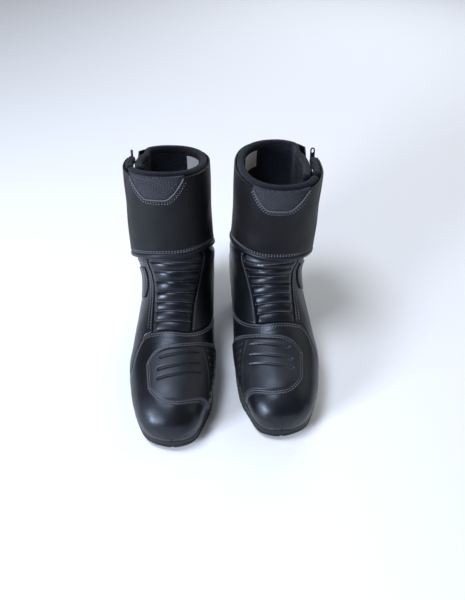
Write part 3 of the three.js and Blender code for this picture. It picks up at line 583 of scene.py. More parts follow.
def sew(patch, u, v, offset=0.0, body="boot", pitch=3.7, length=2.0, radius=0.5):
    """One row of stitches along a line on the skin, moved sideways by an offset in mm."""
    boot = patch.boot
    u, v = np.broadcast_arrays(np.asarray(u, float), np.asarray(v, float))
    points, outward = skin(boot, u, v), normals(boot, u, v)
    along = unit(np.gradient(points, axis=0))
    points = points + np.cross(outward, along) * offset
    made = stitches_along(points, outward, patch.surface(), pitch, length)
    if not made:
        return
    start, end, up = (np.array(part) for part in zip(*made))
    axis = end - start
    reach = np.linalg.norm(axis, axis=1)[:, None, None, None]
    axis = unit(axis)
    across = unit(np.cross(up, axis))
    up = np.cross(axis, across)
    turn = np.linspace(0, 2 * np.pi, STITCH_SIDES, endpoint=False)[None, None, :, None]
    girth = (STITCH_GIRTH * radius)[None, :, None, None]
    lift = (STITCH_LIFT * radius)[None, :, None, None]
    place = STITCH_STATIONS[None, :, None, None] * reach
    middle = ((start + end) / 2)[:, None, None]
    ring = (middle + axis[:, None, None] * place + up[:, None, None] * (lift + girth * np.sin(turn))
            + across[:, None, None] * girth * np.cos(turn))
    threads.setdefault((boot["side"], body), []).append(ring.reshape(-1, 3))


def finish_threads(boot, name, body):
    points = np.vstack(threads.pop((boot["side"], body)))
    stations = len(STITCH_STATIONS)
    each = stations * STITCH_SIDES
    one = grid_faces(stations, STITCH_SIDES, 0, True)
    faces = (one[None] + np.arange(len(points) // each)[:, None, None] * each).reshape(-1, 4)
    add_piece(boot, name, points, faces, "thread", None, (), points[:, :2] + points[:, 2:], body, 80)


def round_section(angle, share):
    return np.ones(np.broadcast_shapes(angle.shape, share.shape))


def bead(boot, name, centres, across, high, look, slot, replaces, shape=round_section, body="boot",
         close=0.6):
    """A bead along a line. shape(angle, share) scales its section; the ends are rounded."""
    run = cumulative(centres, 0)
    sides = 40
    angle = np.linspace(0, 2 * np.pi, sides, endpoint=False)
    girth = np.linalg.norm(high, axis=-1)
    from_end = np.minimum(run, run[-1] - run) / np.maximum(girth * close, 1e-6)
    scale = np.sqrt(np.maximum(1 - (1 - np.clip(from_end, 0, 1)) ** 2, 0.0))
    share = run / run[-1]
    factor = shape(angle[None, :], share[:, None]) * scale[:, None]
    rings = (centres[:, None] + across[:, None] * (np.cos(angle)[None, :] * factor)[..., None]
             + high[:, None] * (np.sin(angle)[None, :] * factor)[..., None])
    rows = len(centres)
    faces = grid_faces(rows, sides, 0, True)
    around = np.broadcast_to(angle[None, :] * girth[:, None], (rows, sides))
    uv = np.stack([np.broadcast_to(run[:, None], (rows, sides)), around], -1).reshape(-1, 2)
    return add_piece(boot, name, rings.reshape(-1, 3), faces, look, slot, replaces, uv, body, 60)


# ---- Seam lines ----------------------------------------------------------------------
def seat(v):
    return np.where(v < 2, TOE_SEAT, np.minimum(column(3, v), HEEL_SEAT))


def half_below(v, height):
    """Half the span in u, either side of the bottom line, lower than a height over the seat."""
    level = seat(v) + height
    low, high = np.zeros_like(v), np.full_like(v, 0.25)
    for _ in range(HALVINGS):
        middle = (low + high) / 2
        above = skin_height(0.5 - middle, v) > level
        high = np.where(above, middle, high)
        low = np.where(above, low, middle)
    return np.where(column(3, v) >= level, 0, (low + high) / 2)


TABLE_V = np.linspace(0, 11, 1101)
MARGIN_HALF = half_below(TABLE_V, MARGIN)


def vamp_seam(u):
    back = 1.9 * smooth(u, 0.04, 0.3)
    forward = 1.5 * smooth(-u, 0.1, 0.19)
    return VAMP_SEAM + back - forward


def shaft_lift(u):
    return SHAFT_LIFT * smooth(u, 0, 0.2) * (1 - smooth(u, 0.3, 0.5))


def bellows_half(side, v):
    low, high = (0.082, 0.142) if side > 0 else (0.078, 0.098)
    return lerp(low, high, smooth(v, VAMP_SEAM, LOWER_TOP))


def quarter_edge(v):
    sole = 0.5 - np.interp(v, TABLE_V, MARGIN_HALF)
    return lerp(sole, HEEL_SEAM, smooth(v, HEEL_CAP_LOW, 9.3))


def flare(u, v):
    """How far the shaft panels stand away from the ankle, most at the lower outer corner."""
    side = np.maximum(0, 1 - (((u % 1) - 0.77) / 0.24) ** 2)
    return 4 * side * np.clip((14.6 - v) / 2.8, 0, 1.1)


def insert_edge(boot, u):
    x = np.minimum(1, np.abs(u - boot["twist"]) / INSERT_HALF)
    slope = np.maximum(0, (x - INSERT_FLAT) / (1 - INSERT_FLAT))
    return SHAFT_TOP - INSERT_DEPTH * (1 - slope**1.4)


def zip_u(v):
    return lerp(ZIP_LOW[0], ZIP_HIGH[0], (v - ZIP_LOW[1]) / (ZIP_HIGH[1] - ZIP_LOW[1]))


def shaft_tuck(u, v):
    return -3.0 * smooth(v - shaft_lift(u), 11.25, 11.7)


# ---- Lower half of the upper ---------------------------------------------------------
GROOVES = np.array([6.66, 7.3, 7.95, 8.68, 9.58, 10.5, 11.4, 12.3])


def wobble(u, v, size):
    """Slow, uneven swelling of soft leather, in mm."""
    return size * (np.sin(31 * u + 2.1 * v) * np.cos(1.7 * v - 9 * u) + 0.6 * np.sin(57 * u - 3.3 * v + 1))


def make_vamp(boot):
    def where(s, t):
        across = 2 * s - 1
        v = VAMP_SEAM * t
        for _ in range(12):
            u = across * np.minimum(0.5 - np.interp(v, TABLE_V, MARGIN_HALF), 0.488)
            v = lerp(v, vamp_seam(u) * t**1.3, 0.7)
        return u, v

    patch = Patch(boot, where, 1.2, (0, 0, 0, 1))
    u, v = patch.u, patch.v
    crease = 0.35 * smooth(v, 4.6, 5.6) * np.sin(26 * v + 3 * np.sin(20 * u)) * np.exp(-((u / 0.2) ** 2))
    height = (0.45 + rolled(patch.high, 0.9) + pressed_rows(patch.high, VAMP_ROWS)
              + wobble(u, v, 0.12) + 0.25 * crease * smooth(patch.high, 5, 12))
    patch.solid("vamp_leather", height, -LEATHER, "leather", "leather", ["vamp"])
    line = np.linspace(-0.36, 0.345, 700)
    for row in VAMP_ROWS:
        sew(patch, line, vamp_seam(line), -row)


def make_bellows(boot):
    def where(s, t):
        inner = bellows_half(1, lerp(VAMP_SEAM, LOWER_TOP, t)) + 0.02
        outer = bellows_half(-1, lerp(VAMP_SEAM, LOWER_TOP, t)) + 0.02
        u = lerp(-outer, inner, s)
        return u, lerp(vamp_seam(u) - 0.25, 12.5 + shaft_lift(u), t)

    patch = Patch(boot, where, 0.95, (0, 0, 0, 0))
    u, v = patch.u, patch.v

    def ribs_line(u, v):
        """How far the vamp's seam shifts the ribs there, in units of v."""
        return 0.9 * (vamp_seam(u) - VAMP_SEAM) * np.exp(-(v - 6) / 1.5)

    rise = v - ribs_line(u, v)
    lines = np.concatenate([[VAMP_SEAM], GROOVES, [13.4]])
    k = np.clip(np.searchsorted(lines, rise) - 1, 0, len(lines) - 2)
    x = np.clip((rise - lines[k]) / (lines[k + 1] - lines[k]), 0, 1)
    from_outer = (u + bellows_half(-1, v)) * LOWER_U
    from_inner = (bellows_half(1, v) - u) * LOWER_U
    ends = smooth(from_outer, 0.5, 9) * smooth(from_inner, -1, 6)
    full = 4.0 * rib_section(x) * ends * (0.9 + 0.1 * np.sin(5 * k + 14 * u))
    tucked = -1.6 + 1.3 * smooth(np.minimum(from_outer, from_inner), -0.5, 2)
    under_vamp = tucked_under((v - vamp_seam(u)) * SEAM_V, 1.3, 2)
    height = tucked + full + under_vamp + shaft_tuck(u, v) + wobble(u, v, 0.08) * ends
    patch.solid("bellows_ribs", height, -4.5 + shaft_tuck(u, v), "leather", "leather", ["bellows"])
    for groove in GROOVES[:7]:
        line = np.linspace(-bellows_half(-1, groove) + 0.014, bellows_half(1, groove) - 0.004, 160)
        sew(patch, line, groove + ribs_line(line, groove), **SMALL_STITCH)


def make_quarter(boot, side, name):
    top = LOWER_TOP if side > 0 else 11.92
    rows = (1.9,) if side > 0 else (1.9, 6.6)

    def where(s, t):
        u = np.full_like(s, side * 0.2)
        v = lerp(vamp_seam(u) - 0.22, top, t)
        for _ in range(14):
            edge = quarter_edge(v) + 0.012 * smooth(v, 8.2, 9) * (1 - smooth(v, 10.8, 10.95))
            u = lerp(u, side * lerp(bellows_half(side, v), edge, s), 0.7)
            v = lerp(v, lerp(vamp_seam(u) - 0.22, top + shaft_lift(u), t), 0.7)
        return u, v

    patch = Patch(boot, where, 1.2, (1, 1, 0, 0))
    u, v = patch.u, patch.v
    under_vamp = tucked_under((v - vamp_seam(u)) * SEAM_V, 1.5, 1.8)
    past_heel = (quarter_edge(v) - np.abs(u)) * LOWER_U
    capped = smooth(v, 8.2, 8.8) * (1 - smooth(v, 10.84, 10.92))
    under_heel = tucked_under(past_heel, 1.5, 1.6) * capped
    upper_edge = rolled(patch.right, 0.8) * smooth(v, 10.9, 11)
    pulled = sum(pressed(patch.left, row, depth) for row, depth in zip(rows, (0.35, 0.3)))
    height = (0.3 + rolled(patch.left, 0.8) + pulled + under_vamp + under_heel + upper_edge
              + shaft_tuck(u, v) + wobble(u, v, 0.15) * smooth(patch.left, 6, 20))
    patch.solid(f"{name}_leather", height, -LEATHER + shaft_tuck(u, v), "leather", "leather", [name])
    line = np.linspace(VAMP_SEAM + 0.25, 12.1, 500)
    for row in rows:
        sew(patch, side * bellows_half(side, line), line, -row * side)


def make_heel_cap(boot):
    spans = np.linspace(0.2, 0.5, 200)
    low, high = np.full_like(spans, HEEL_CAP_LOW), np.full_like(spans, 9.8)
    for _ in range(HALVINGS):
        middle = (low + high) / 2
        above = skin_height(spans, middle) > seat(middle) + 2.6
        high, low = np.where(above, middle, high), np.where(above, low, middle)
    sole_line = (low + high) / 2

    def where(s, t):
        across = 2 * s - 1
        rise = t**1.3
        foot = across * (0.5 - quarter_edge(np.array(HEEL_CAP_LOW)))
        u = 0.5 + across * (0.5 - quarter_edge(lerp(HEEL_CAP_LOW, HEEL_CAP_TOP, rise)))
        start = np.interp(0.5 - np.abs(foot), spans, sole_line)
        return u, lerp(start, HEEL_CAP_TOP, rise)

    patch = Patch(boot, where, 1.2, (1, 1, 0, 1))
    u, v = patch.u, patch.v
    edge = patch.edge("left", "right", "high")
    height = 0.5 + rolled(edge, 0.9) + pressed_rows(edge, HEEL_ROWS) + wobble(u, v, 0.1)
    patch.solid("heel_cap_leather", height, -LEATHER, "leather", "leather", ["heel_cap"])
    line = np.linspace(8.55, 10.74, 220)
    across = np.linspace(HEEL_SEAM + 0.012, 1 - HEEL_SEAM - 0.012, 300)
    for row in HEEL_ROWS:
        sew(patch, quarter_edge(line), line, -row)
        sew(patch, 1 - quarter_edge(line), line, row)
        sew(patch, across, HEEL_CAP_TOP, -row)


def make_rear_bellows(boot):
    def where(s, t):
        u = lerp(HEEL_SEAM - 0.01, 1.01 - HEEL_SEAM, s)
        return u, lerp(HEEL_CAP_TOP - 0.18, 12 + shaft_lift(u), t)

    patch = Patch(boot, where, 1.0, (0, 0, 0, 0))
    u, v = patch.u, patch.v
    x = np.clip((v - HEEL_CAP_TOP) / 0.3, 0, None) % 1
    tucked = -1.6 + 1.4 * smooth(patch.edge("left", "right"), 3, 6)
    under_heel = tucked_under((v - HEEL_CAP_TOP) * HEEL_V, 1.3, 1.6)
    ends = 1 - smooth(np.abs(u - 0.5), 0.1, 0.15)
    height = tucked + under_heel + 2.6 * (rib_section(x) * (v > HEEL_CAP_TOP)) * ends + shaft_tuck(u, v)
    patch.solid("rear_bellows_ribs", height, -4.2 + shaft_tuck(u, v), "leather", "leather", ["rear_bellows"])
    for groove in (11.2, 11.5):
        sew(patch, np.linspace(0.37, 0.63, 120), groove, **SMALL_STITCH)


# ---- Pieces sewn on top --------------------------------------------------------------
def make_pad(boot):
    """The rubber pad: a stitched border, a raised face, three grooves and a ribbed strip."""
    def where(s, t):
        u = lerp(-0.088, 0.272, s)
        end = 1 - np.minimum(1, 3.6 * s)
        share = 1 - 0.6 * end**2.5
        low = 2.33 + 0.6 * smooth(u, 0.03, 0.2)
        high = 5.22 + 1.05 * smooth(u, -0.03, 0.28)
        return u, lerp(3.8, lerp(low, high, t), share)

    patch = Patch(boot, where, 0.7, (1, 1, 1, 1))
    u, v = patch.u, patch.v
    edge = patch.edge("left", "high", "low")
    border = 1.0 + rolled(patch.edge("left", "high", "low", "right"), 0.7)
    rows = pressed_rows(edge, PAD_ROWS, 0.3, 0.8)
    lip = 0.7 * np.exp(-(((edge - 7.0) / 0.8) ** 2))
    face = 2.3 * smooth(edge, 5.9, 8.6)
    cuts = np.zeros_like(u)
    grooves = ((-0.033, 0.116, 4.56, 0.48), (-0.039, 0.124, 4.04, 0.54), (-0.042, 0.134, 3.62, 0.58))
    for start, finish, level, climb in grooves:
        share = np.clip((u - start) / (finish - start), 0, 1)
        off = (v - (level + climb * share)) * PAD_V
        width = lerp(1.5, 0.7, share)
        inside = smooth(u, start - 0.002, start + 0.004) * (1 - smooth(u, finish - 0.01, finish))
        cuts += -1.3 * np.exp(-((off / width) ** 2)) * inside
    ridge_u = 0.127 + 0.045 * (5.3 - v)
    beside = (u - ridge_u) * SHAFT_U
    ridge = 0.8 * np.exp(-((beside / 0.9) ** 2)) - 0.6 * smooth(beside, 0.8, 2.2)
    strip = smooth(beside, 7, 9) * (1 - smooth(beside, 24, 27)) * smooth(edge, 10, 12)
    ribs = 0.9 * strip * smooth(np.cos(2 * np.pi * (v * 3.4 - beside * 0.03)), -0.1, 0.45)
    height = border + rows + lip + face + cuts * smooth(edge, 8, 10) + ridge * smooth(edge, 7, 9) + ribs
    patch.solid("shift_pad_rubber", height, 0.2, "pad", "pad_rubber", ["shift_pad"], sharp=50)
    t = np.linspace(0, 1, 400)
    for row in PAD_ROWS:
        for s, rest, offset in ((t * 0.985, t * 0 + 1, -row), (t * 0.985, t * 0, row), (t * 0, t, -row)):
            sew(patch, *where(s, rest), offset, pitch=3.5, radius=0.44)


def make_guard(boot):
    centre, half = 0.72, 0.06
    middle, tall = 9.75, 1.05

    def where(s, t):
        a, b = 2 * s - 1, 2 * t - 1
        x = a * np.sqrt(1 - b * b / 2)
        y = b * np.sqrt(1 - a * a / 2)
        return centre + half * x, middle + tall * y

    patch = Patch(boot, where, 1.0, (0, 0, 0, 0))
    u, v = patch.u, patch.v
    r = np.sqrt(((u - centre) / half) ** 2 + ((v - middle) / tall) ** 2)
    dome = 2.6 * (1 - smooth(r, 0.0, 0.8)) ** 0.8
    height = 0.4 + 1.3 * (1 - smooth(r, 0.95, 1.0)) + dome + pressed(r * 20, 17, 0.4, 0.9)
    height = height - 0.5 * np.exp(-(((r - 0.52) / 0.035) ** 2))
    patch.solid("ankle_guard_leather", height, 0.0, "leather", "leather", ["ankle_guard"])
    turn = np.linspace(0, 2 * np.pi, 300)
    sew(patch, centre + 0.85 * half * np.cos(turn), middle + 0.9 * np.sin(turn))


def make_end_tab(boot):
    def where(s, t):
        taper = 0.35 + 0.65 * np.sqrt(np.minimum(1, 3 * t))
        return 0.847 + 0.033 * (2 * s - 1) * taper, lerp(8.4, 10.7, t)

    patch = Patch(boot, where, 0.9, (1, 1, 1, 0))
    edge = patch.edge("left", "right", "low")
    height = 2.2 + rolled(edge, 0.9) + pressed(edge, 2.4, 0.4) + 0.5 * smooth(edge, 3, 7)
    patch.solid("zip_end_tab_leather", height, 0.2, "leather", "leather", ["zip_end_tab"])
    t = np.linspace(0, 1, 200)
    for s, rest, offset in ((t * 0, t, -2.4), (t * 0 + 1, t, 2.4), (t, t * 0, 2.4)):
        sew(patch, *where(s, rest), offset)


# ---- Shaft ---------------------------------------------------------------------------
def lower_edge(u):
    return SHAFT_BOTTOM + shaft_lift(u)


def lower_line(start, finish):
    """The lower edge of a shaft panel between two places, as a line that a band can follow."""
    def line(s):
        u = lerp(start, finish, s)
        return u, lower_edge(u)

    return line


def make_band(boot, name, line, base, fine=(1, 1, 1, 1), sway=0.08, body="boot"):
    """The glossy folded binding along the lower edge of a shaft panel."""
    def where(s, t):
        u, v = line(s)
        _, along = slopes(boot, u, v)
        return u, v + (t * (BAND_WIDTH + BAND_HANG) - BAND_HANG) / np.linalg.norm(along, axis=-1)

    patch = Patch(boot, where, 0.9, fine)
    from_edge = patch.edge("low", "high")
    fold = 1.7 * np.sqrt(np.clip(1 - (1 - np.clip(from_edge / 2.4, 0, 1)) ** 2, 0, 1))
    level = base(patch.u, patch.v)
    height = level + fold + wobble(patch.u, patch.v, sway) - 0.1
    patch.solid(name, height, level - 0.7, "band", "leather", body=body)


def make_shin(boot):
    def where(s, t):
        u = lerp(FLAP_HINGE + 0.0005, SHIN_INNER, s)
        return u, lerp(lower_edge(u), insert_edge(boot, u), t)

    patch = Patch(boot, where, 1.3, (1, 1, 1, 1))
    u, v = patch.u, patch.v
    near = np.abs(u - boot["twist"]) < INSERT_HALF * 0.98
    top_rows = pressed_rows(patch.high, INSERT_ROWS, 0.4) * near
    height = (flare(u, v) + 0.1 + rolled(patch.high, 0.9) * near + rolled(patch.right, 0.8) + top_rows
              + pressed_rows(patch.low, SHAFT_ROWS) + pressed(patch.right, 2.2, 0.35)
              + wobble(u, v, 0.22) * smooth(patch.low, 8, 20))
    patch.solid("shin_leather", height, flare(u, v) - 1.8, "panel", "microfibre", ["shin_panel"])
    line = np.linspace(FLAP_HINGE + 0.004, SHIN_INNER - 0.004, 700)
    for row in SHAFT_ROWS:
        sew(patch, line, lower_edge(line), row)
    half = np.linspace(-0.93, 0.93, 400) * INSERT_HALF + boot["twist"]
    for row in INSERT_ROWS:
        sew(patch, half, insert_edge(boot, half), -row, pitch=3.3, length=1.9, radius=0.42)
    sew(patch, SHIN_INNER, np.linspace(12.9, 15.85, 300), -2.2)
    make_band(boot, "shin_binding", lower_line(FLAP_HINGE + 0.0005, SHIN_INNER), flare)


def make_insert(boot):
    def where(s, t):
        u = boot["twist"] + INSERT_HALF * 1.02 * (2 * s - 1)
        return u, lerp(insert_edge(boot, u) - 0.06, SHAFT_TOP + 0.06, t)

    patch = Patch(boot, where, 0.42, (0, 0, 0, 0))
    x, y = patch.left, patch.low
    pitch = 2.0
    first = np.cos(np.pi * (x * 0.8 + y) / pitch) ** 2
    second = np.cos(np.pi * (x * 0.8 - y) / pitch) ** 2
    net = np.maximum(first, 0.8 * second)
    puff = 1.0 * smooth(patch.edge("left", "right", "low"), 0.5, 9)
    height = -1.0 + puff + 0.55 * net
    patch.solid("insert_fabric", height, -2.6, "insert", "mesh", ["mesh_insert"], sharp=70)

    line = np.linspace(-0.985, 0.985, 240) * INSERT_HALF + boot["twist"]
    level = insert_edge(boot, line)
    out = normals(boot, line, level)
    points = skin(boot, line, level) + out * 0.4
    along = unit(np.gradient(points, axis=0))
    sideways = np.cross(along, out)
    bead(boot, "piping_cord", points, sideways * 0.95, out * 0.95, "piping", "reflective", ["insert_piping"])


def rear_ledge(u, v):
    """The rear panel's layer, lower where the outer side runs under the flap."""
    return flare(u, v) - REAR_LEDGE * smooth(u, 0.652, 0.682)


def rear_layer(u, v):
    edge = zip_u(v) - 0.02
    return rear_ledge(u, v) - 2.9 * smooth(u, edge - 0.03, edge - 0.014)


def make_rear(boot):
    def where(s, t):
        u0 = lerp(SHIN_INNER - 0.012, REAR_TURN, np.clip(2 * s, 0, 1))
        lift = shaft_lift(np.clip(u0, 0, REAR_TURN)) + REAR_LIFT * smooth(s, 0.46, 0.56)
        v = lerp(SHAFT_BOTTOM + lift, SHAFT_TOP, t)
        u = np.where(s < 0.5, u0, lerp(REAR_TURN, zip_u(v) - 0.02, np.clip(2 * s - 1, 0, 1)))
        return u, v

    patch = Patch(boot, where, 1.3, (0, 1, 1, 0))
    u, v = patch.u, patch.v
    from_back = np.abs(u - 0.5) * SHAFT_U
    under_shin = tucked_under((u - SHIN_INNER) * SHAFT_U, 1.5, 1.4)
    stay = 0.9 * (1 - smooth(from_back, 8.2, 9.2))
    rows = pressed(from_back, STAY_ROW, 0.3, 0.9)
    height = (rear_layer(u, v) + 0.05 + under_shin + stay + rows + rolled(patch.right, 0.8)
              + rolled(patch.low, 0.8) + pressed(patch.low, SHAFT_ROWS[0], 0.35) * (u < REAR_TURN)
              + wobble(u, v, 0.25) * smooth(patch.low, 8, 20))
    patch.solid("rear_leather", height, rear_layer(u, v) - 1.8, "panel", "leather", ["rear_panel"])
    rise = np.linspace(12.05, 15.85, 400)
    for offset in (-STAY_ROW, STAY_ROW):
        sew(patch, 0.5, rise, offset)
    line = np.linspace(SHIN_INNER + 0.006, 0.635, 500)
    sew(patch, line, lower_edge(line) + REAR_LIFT * smooth(line, 0.61, 0.68), SHAFT_ROWS[0])
    make_band(boot, "rear_binding", lower_line(SHIN_INNER - 0.004, REAR_TURN), rear_ledge)


def flap_edge(v):
    return lerp(0.685, 0.722, smooth(v, 14, 15.2))


def hinge_line(boot):
    """The middle of the flap's hinge and the direction across it, toward the flap."""
    at = np.array([1 + FLAP_HINGE - 0.004, 1 + FLAP_HINGE + 0.004])
    ends = placed(boot, skin(boot, at, np.full(2, 13.8)))
    return ends.mean(0), unit(ends[0] - ends[1])


def bend_at_hinge(boot, piece):
    middle, across = hinge_line(boot)
    start, end = middle - across * 0.004, middle + across * 0.004
    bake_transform(piece)


def flap_bottom(s):
    """The flap's lower edge, with its rounded corner."""
    return SHAFT_BOTTOM + 0.3 * (1 - np.minimum(1, 5 * s)) ** 2


def make_flap(boot):
    hinge = 1 + FLAP_HINGE

    def where(s, t):
        v = lerp(flap_bottom(s), SHAFT_TOP, t)
        return lerp(flap_edge(v), hinge, s), v

    patch = Patch(boot, where, 1.3, (1, 0, 1, 0))
    u, v = patch.u, patch.v
    height = (flare(u, v) + 0.1 + rolled(patch.left, 0.9) + pressed_rows(patch.left, FLAP_ROWS)
              + pressed_rows(patch.low, SHAFT_ROWS)
              + wobble(u, v, 0.22) * smooth(patch.edge("left", "low"), 8, 20))
    patch.solid("flap_leather", height, flare(u, v) - 1.8, "panel", "microfibre", ["closure_flap"], "hinge")
    rise = np.linspace(12.3, 15.85, 300)
    for row in FLAP_ROWS:
        sew(patch, flap_edge(rise), rise, -row, "flap")
    line = np.linspace(0.70, hinge - 0.012, 160)
    for row in SHAFT_ROWS:
        sew(patch, line, SHAFT_BOTTOM, row, "flap")
    make_band(boot, "flap_binding", lambda s: (lerp(0.6855, hinge, s), flap_bottom(s)), flare,
              (1, 0, 1, 1), 0, "hinge")


# ---- Collar, lining and footbed ------------------------------------------------------
def collar_bead(boot, name, start, end, shift, replaces, count, body="boot"):
    """A padded knit roll along the rim, moved inward beside the zip by a shift in mm."""
    u = np.linspace(start, end, count)
    level = np.full_like(u, COLLAR_V)
    out = normals(boot, u, level)
    up = unit(skin(boot, u, 16.0) - skin(boot, u, 15.5))
    depth = COLLAR_DEPTH - shift * smooth(u, 0.6, 0.682)
    centres = skin(boot, u, level) + out * depth[:, None]

    def shape(angle, share):
        square = 2.5
        round_off = (np.abs(np.cos(angle)) ** square + np.abs(np.sin(angle)) ** square) ** (-1 / square)
        ribs = 0.012 * np.sin(share * count * 0.55 * np.pi)
        pull = 0.02 * np.sin(share * 57) + 0.012 * np.sin(share * 131 + 2)
        return round_off * (0.955 + ribs + pull * np.cos(angle) ** 2)

    roll = bead(boot, name, centres, out * COLLAR_ACROSS, up * COLLAR_HIGH, "knit", "collar_knit",
                replaces, shape, body, 0.9)


def make_collar(boot):
    start, end = FLAP_HINGE + 0.004, 1 + FLAP_HINGE - 0.004
    collar_bead(boot, "collar_padding", start, COLLAR_END, COLLAR_SHIFT, ["collar"], 640)
    collar_bead(boot, "flap_collar_padding", 0.724, end, 0, ["flap_collar"], 90, "hinge")


def lining_depth(u, v):
    wall = lerp(-7, -15.4, smooth(v, 9.8, 12.4))
    inward = COLLAR_SHIFT * smooth(u, 0.6, 0.682) * (1 - smooth(u, 0.85, 0.9))
    return lerp(wall, -10.6 - inward, smooth(v, 13.6, 15.75))


def make_lining(boot):
    columns = 150
    v = np.unique(np.concatenate([
        np.linspace(0, 2, 14), np.linspace(2, 9.2, 40), np.linspace(9.2, 15.84, 80)]))
    u, v = np.meshgrid(np.arange(columns) / columns, v)
    points, out = skin(boot, u, v), normals(boot, u, v)
    soft = smooth(v, 8, 11)
    folds = soft * (0.5 * np.sin(2 * np.pi * (5 * u + 0.25 * v))
                    + 0.35 * np.sin(2 * np.pi * (9 * u - 0.4 * v) + 1.3))
    seams = sum(-0.9 * np.exp(-(((u - at) * SHAFT_U / 1.2) ** 2)) for at in (0.25, 0.5, 0.62)) * soft
    front = points + out * (lining_depth(u, v) + 0.3 * folds)[..., None]
    inner = points + out * (lining_depth(u, v) - 0.9 + folds * 0.6 - seams * 0.5)[..., None]
    uv = np.stack([u * SHAFT_U, cumulative(points, 0)], -1)
    add_sheet(boot, "lining_mesh", front, inner, uv, "lining", "lining", ["lining"], ring=True, sharp=50)


def bottom_end(low, high, height, at_toe):
    for _ in range(HALVINGS):
        middle = (low + high) / 2
        over = column(3, np.array(middle)) > (TOE_SEAT if at_toe else HEEL_SEAT) + height
        if over == at_toe:
            low = middle
        else:
            high = middle
    return (low + high) / 2


def make_footbed(boot):
    toe, heel = bottom_end(0, 1.5, 2, True) + 0.9, bottom_end(8, 11, 2, False) - 0.3

    def where(s, t):
        share = 0.5 - 0.5 * np.cos(np.pi * t)
        v = lerp(toe, heel, share)
        across = 2 * s - 1
        half = half_below(v, 2) * np.sqrt(np.maximum(1 - np.abs(2 * share - 1) ** 8, 0))
        return 0.5 + half * across * np.abs(across) ** 0.6, v

    patch = Patch(boot, where, 2.2, (0, 0, 0, 0))
    dimples = 0.25 * np.sin(patch.left * 0.9) * np.sin(patch.low * 0.9)
    patch.solid("footbed_cloth", -10, -12.6 + dimples, "footbed", "footbed", ["footbed"])


def make_label(boot):
    """A plain woven label, sewn to the lining on the inner side."""
    centre, width, low, high = boot["label"]
    u, v = np.meshgrid(np.linspace(centre - width, centre + width, 40), np.linspace(low, high, 24))
    points, out = skin(boot, u, v), normals(boot, u, v)
    top, under = (points + out * (lining_depth(u, v) - depth)[..., None] for depth in (1.75, 1.25))
    uv = np.stack([cumulative(points, 1), cumulative(points, 0)], -1)
    add_sheet(boot, "label", top, under, uv, "label", None)


# ---- Zip -----------------------------------------------------------------------------
def make_tape(boot):
    from_u, width, reach = -0.012, 0.1, 1.05
    s, t = np.meshgrid(np.linspace(0, 1, 50), np.linspace(0, 1, 90))
    layers = []
    for depth in (-9.8, -10.6):
        low, high = (at_depth(boot, u + from_u + width * s, np.full_like(s, v), depth + 0 * s)
                     for u, v in (ZIP_LOW, ZIP_HIGH))
        layers.append(lerp(low, high, (t * reach)[..., None]))
    uv = np.stack([cumulative(layers[0], 1), cumulative(layers[0], 0)], -1)
    add_sheet(boot, "zip_tape_cloth", *layers, uv, "tape", "zip_tape", ["zip_tape"], sharp=50)


def make_coil(boot):
    """The closed chain: rounded teeth from both sides, on the line that the slider runs on."""
    low, high = skin(boot, *map(np.array, ZIP_LOW)), skin(boot, *map(np.array, ZIP_HIGH))
    length = np.linalg.norm(high - low)
    up = unit(high - low)
    out = normals(boot, *map(np.array, ZIP_HIGH))
    out = unit(out - up * (out @ up))
    across = np.cross(up, out)
    middle = high - out * 7.8
    pitch, rows, sides = 1.5, 9, 10
    count = int(length * 0.97 / pitch)
    turn = np.linspace(0, 2 * np.pi, sides, endpoint=False)
    share = np.linspace(0, 1, rows)
    girth = 0.43 * np.sqrt(np.maximum(1 - np.abs(2 * share - 1) ** 6, 0.0))
    points, faces = [], []
    for k in range(2 * count):
        at = middle - up * (length * 0.955) + up * pitch * 0.5 * k
        reach = (1 if k % 2 else -1) * lerp(2.75, -0.7, share)
        ring = (at + across * reach[:, None, None] + out * (girth[:, None] * np.sin(turn))[..., None]
                + up * (girth[:, None] * np.cos(turn))[..., None] * 1.3)
        faces.append(grid_faces(rows, sides, 0, True) + k * rows * sides)
        points.append(ring.reshape(-1, 3))
    points, faces = np.vstack(points), np.vstack(faces)
    add_piece(boot, "zip_coil", points, faces, "coil", "zip_chain", ["zip_chain"], sharp=60)


def dress(boot, node_name, look, width=0.0):
    """Gives a CAD node its material, and rounds its edges."""
    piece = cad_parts[f"{boot['side']}_{node_name}"]
    piece.data.materials.clear()
    piece.data.materials.append(LOOKS[look])
    if width:
        edge = piece.modifiers.new("edge", "BEVEL")
        edge.width, edge.segments, edge.limit_method = width * MM, 3, "ANGLE"
        edge.harden_normals = False


# ---- Soles ---------------------------------------------------------------------------
def sole_outline(boot, count=360):
    """The plan line of the sole in mm, with the direction that faces out of it."""
    toe, heel = bottom_end(0, 1.5, LIP, True), bottom_end(8, 11, LIP, False)
    angle = np.linspace(0, 2 * np.pi, count, endpoint=False)
    v = lerp(toe, heel, 0.5 - 0.5 * np.cos(angle))
    half = half_below(v, LIP)
    half[[0, count // 2]] = 0
    line = skin(boot, 0.5 + np.where(angle < np.pi, -half, half), v)[:, :2]
    for _ in range(3):
        line = (np.roll(line, 1, 0) + 2 * line + np.roll(line, -1, 0)) / 4
    run = cumulative(np.vstack([line, line[:1]]), 0)
    even = np.linspace(0, run[-1], count, endpoint=False)
    closed = np.vstack([line, line[:1]])
    line = np.stack([np.interp(even, run, closed[:, k]) for k in (0, 1)], -1)
    along = unit(np.roll(line, -1, 0) - np.roll(line, 1, 0))
    out = np.stack([along[:, 1], -along[:, 0]], -1)
    return line - out * (TOE_TUCK * smooth(MID_FOOT - line[:, 1], 225, 275))[:, None], out


def profile_at(profile, y):
    return np.interp(MID_FOOT - y, profile[:, 0], profile[:, 1])


